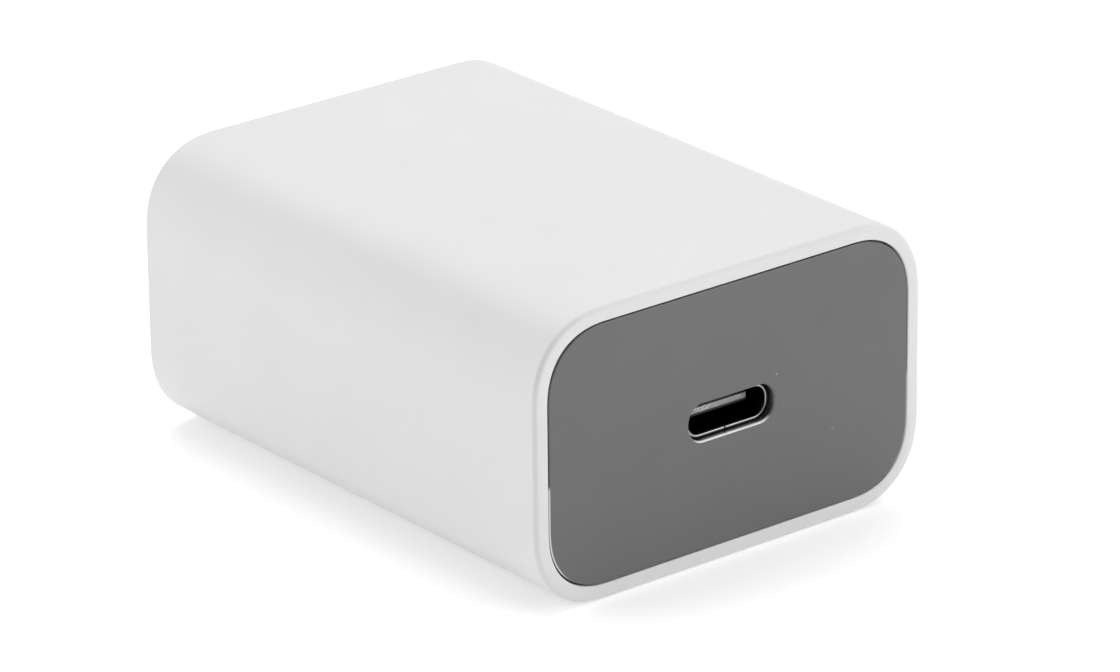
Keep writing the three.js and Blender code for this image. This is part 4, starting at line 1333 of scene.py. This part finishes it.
def round_capacitor(name, can_finish):
    low, high = (Vector(corner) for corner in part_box(name))
    middle = (low + high) / 2
    radius = (high.x - low.x) / 2
    can = rod(name + "_can", radius, (middle.x, middle.y, low.z), (middle.x, middle.y, high.z), 64)
    round_edges(can, is_corner, CAN_EDGE, 5)
    cutters = [bead_tool(middle, low.z + BEAD_HEIGHT, radius)]
    reach = radius * SCORE_REACH
    for half_x, half_y in ((reach, SCORE_WIDTH / 2), (SCORE_WIDTH / 2, reach)):
        score_low = (middle.x - half_x, middle.y - half_y, high.z - SCORE_DEPTH)
        cutters.append(block("score", score_low, (middle.x + half_x, middle.y + half_y, high.z + MM)))
    combine(can, cutters, "DIFFERENCE")
    smooth(can)
    wear(can, can_finish, node=name)


for name in ("bulk_capacitor_front", "bulk_capacitor_rear"):
    film = finish(name + " film", (0.03, 0.035, 0.05), 0.25, grain=900, depth=0.006, drift=0.1)
    stripe_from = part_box(name)[1][1] - STRIPE_WIDTH
    add_stripe(film, stripe_from, stripe_from + STRIPE_BLUR, STRIPE_GREY)
    round_capacitor(name, film)
bare_can = finish("bare can", (0.76, 0.77, 0.79), 0.3, metal=1.0, grain=1900, depth=0.003, drift=0.08)
for name in ("output_capacitor_left", "output_capacitor_right"):
    round_capacitor(name, bare_can)

# %% [markdown]
# The safety capacitor is a film box, the bridging one is dipped in blue epoxy, which cures a little wavy,
# and the fuse sits in a brown moulding.

# %% Film capacitors and fuse
film_box = finish("yellow film box", (0.72, 0.5, 0.1), 0.36, grain=3000, depth=0.008, drift=0.1)
dress(film_box, "safety_capacitor")
blue_dip = finish("blue epoxy dip", (0.03, 0.12, 0.42), 0.24, grain=420, depth=0.06, drift=0.15)
dress(blue_dip, "bridging_capacitor")
fuse_brown = finish("brown fuse moulding", (0.12, 0.05, 0.025), 0.4, grain=3300, depth=0.01, drift=0.15)
dress(fuse_brown, "fuse")

# %% [markdown]
# A sheet of polyester film keeps the mains side from the aluminium, and a soft grey pad carries heat from
# the transformer to it. The film is smooth and milky. The pad is dull, with the print of its liner's weave.

# %% Film and pad
milky_film = finish("milky polyester film", (0.62, 0.62, 0.58), 0.22, grain=700, depth=0.006, drift=0.08)
dress(milky_film, "insulation_sheet")
soft_pad = finish("soft gap pad", (0.28, 0.31, 0.36), 0.75, grain=1600, depth=0.02, drift=0.15)
add_bands(soft_pad, "X", 0.5 * MM, 0.02 * MM, (0.24, 0.27, 0.32))
dress(soft_pad, "thermal_pad")

# %% [markdown]
# The underside of the main board carries what is too small for the frame. What stands on the board has
# its leads soldered there, and each joint is a small cone of solder drawn up round the lead. The joints'
# places follow from the parts above. One that would lie under a chip moves to the part's other axis, or
# is left out where that isn't free either.

# %% Solder joints under the board
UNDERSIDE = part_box("main_board")[0][2]
CHIPS = ("bridge_rectifier", "power_switch", "output_rectifier", "optocoupler")
LEAD_SPACING = {
    "bulk_capacitor_front": 5.0 * MM,
    "bulk_capacitor_rear": 5.0 * MM,
    "output_capacitor_left": 3.5 * MM,
    "output_capacitor_right": 3.5 * MM,
    "safety_capacitor": 10.0 * MM,
    "bridging_capacitor": 5.0 * MM,
    "fuse": 5.0 * MM,
    "filter_choke_core": 8.0 * MM,
    "transformer_bobbin": 13.0 * MM,
}
JOINT_RADIUS = 0.9 * MM
JOINT_HEIGHT = 0.6 * MM


def is_free(x, y, room):
    """True where a spot under the board is clear of the chips."""
    for name in CHIPS:
        low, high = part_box(name)
        if low[0] - room < x < high[0] + room and low[1] - room < y < high[1] + room:
            return False
    return True


def solder_joint(x, y):
    bpy.ops.object.select_all(action="DESELECT")
    bpy.ops.mesh.primitive_cone_add(
        vertices=20,
        radius1=JOINT_RADIUS / 3,
        radius2=JOINT_RADIUS,
        depth=JOINT_HEIGHT,
        location=(x, y, UNDERSIDE - JOINT_HEIGHT / 2),
    )
    joint = bpy.context.active_object
    settle(joint)
    return joint


spots = []
for name, spacing in LEAD_SPACING.items():
    low, high = (Vector(corner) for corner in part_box(name))
    middle = (low + high) / 2
    for reach in (-spacing / 2, spacing / 2):
        choices = [(middle.x, middle.y + reach), (middle.x + reach, middle.y)]
        spots += [spot for spot in choices if is_free(*spot, JOINT_RADIUS)][:1]
tin = finish("bright tin", (0.7, 0.7, 0.68), 0.25, metal=1.0, grain=1400, depth=0.01, drift=0.1)
solder = join("solder_joints", [solder_joint(x, y) for x, y in spots])
smooth(solder, 60)
wear(solder, tin)
print("joints:", len(spots))

# %% [markdown]
# The small parts are ceramic bars of 1.6 by 0.8 mm. A grid of places is walked through, and a part is set
# on every place that is free of chips and solder. The rows turn by a quarter from one to the next, as they
# do where a board is packed closely.

# %% Small parts under the board
PART_LENGTH = 1.6 * MM
PART_WIDTH = 0.8 * MM
PART_HEIGHT = 0.5 * MM
BODY_SHARE = 0.7
END_SHARE = 0.65
END_LIFT = 0.02 * MM
SOLDER_ROOM = 1.9 * MM
CHIP_ROOM = 1.1 * MM
GRID = 3.1 * MM
GRID_STEPS = range(-4, 5)


def bar(x, y, turned, start, end, grow=0):
    """A piece of a bar that lies under the board, from one share of its length to another."""
    half_width = PART_WIDTH / 2 + grow
    along_low, along_high = (share * PART_LENGTH / 2 for share in (start, end))
    low = (x - half_width, y + along_low) if turned else (x + along_low, y - half_width)
    high = (x + half_width, y + along_high) if turned else (x + along_high, y + half_width)
    return block("bar", (*low, UNDERSIDE - PART_HEIGHT - grow), (*high, UNDERSIDE))


bodies = []
ends = []
for column in GRID_STEPS:
    for row in GRID_STEPS:
        x = column * GRID
        y = row * GRID
        near_solder = any(math.hypot(x - spot[0], y - spot[1]) < SOLDER_ROOM for spot in spots)
        if near_solder or not is_free(x, y, CHIP_ROOM):
            continue
        turned = row % 2 == 1
        bodies.append(bar(x, y, turned, -BODY_SHARE, BODY_SHARE))
        ends.append(bar(x, y, turned, -1, -END_SHARE, END_LIFT))
        ends.append(bar(x, y, turned, END_SHARE, 1, END_LIFT))
tan_ceramic = finish("tan ceramic", (0.3, 0.19, 0.1), 0.45, grain=6000, depth=0.006, drift=0.25)
small_parts = join("board_small_parts", bodies)
smooth(small_parts)
wear(small_parts, tan_ceramic)
part_ends = join("board_small_part_ends", ends)
smooth(part_ends)
wear(part_ends, tin)
print("small parts:", len(bodies))
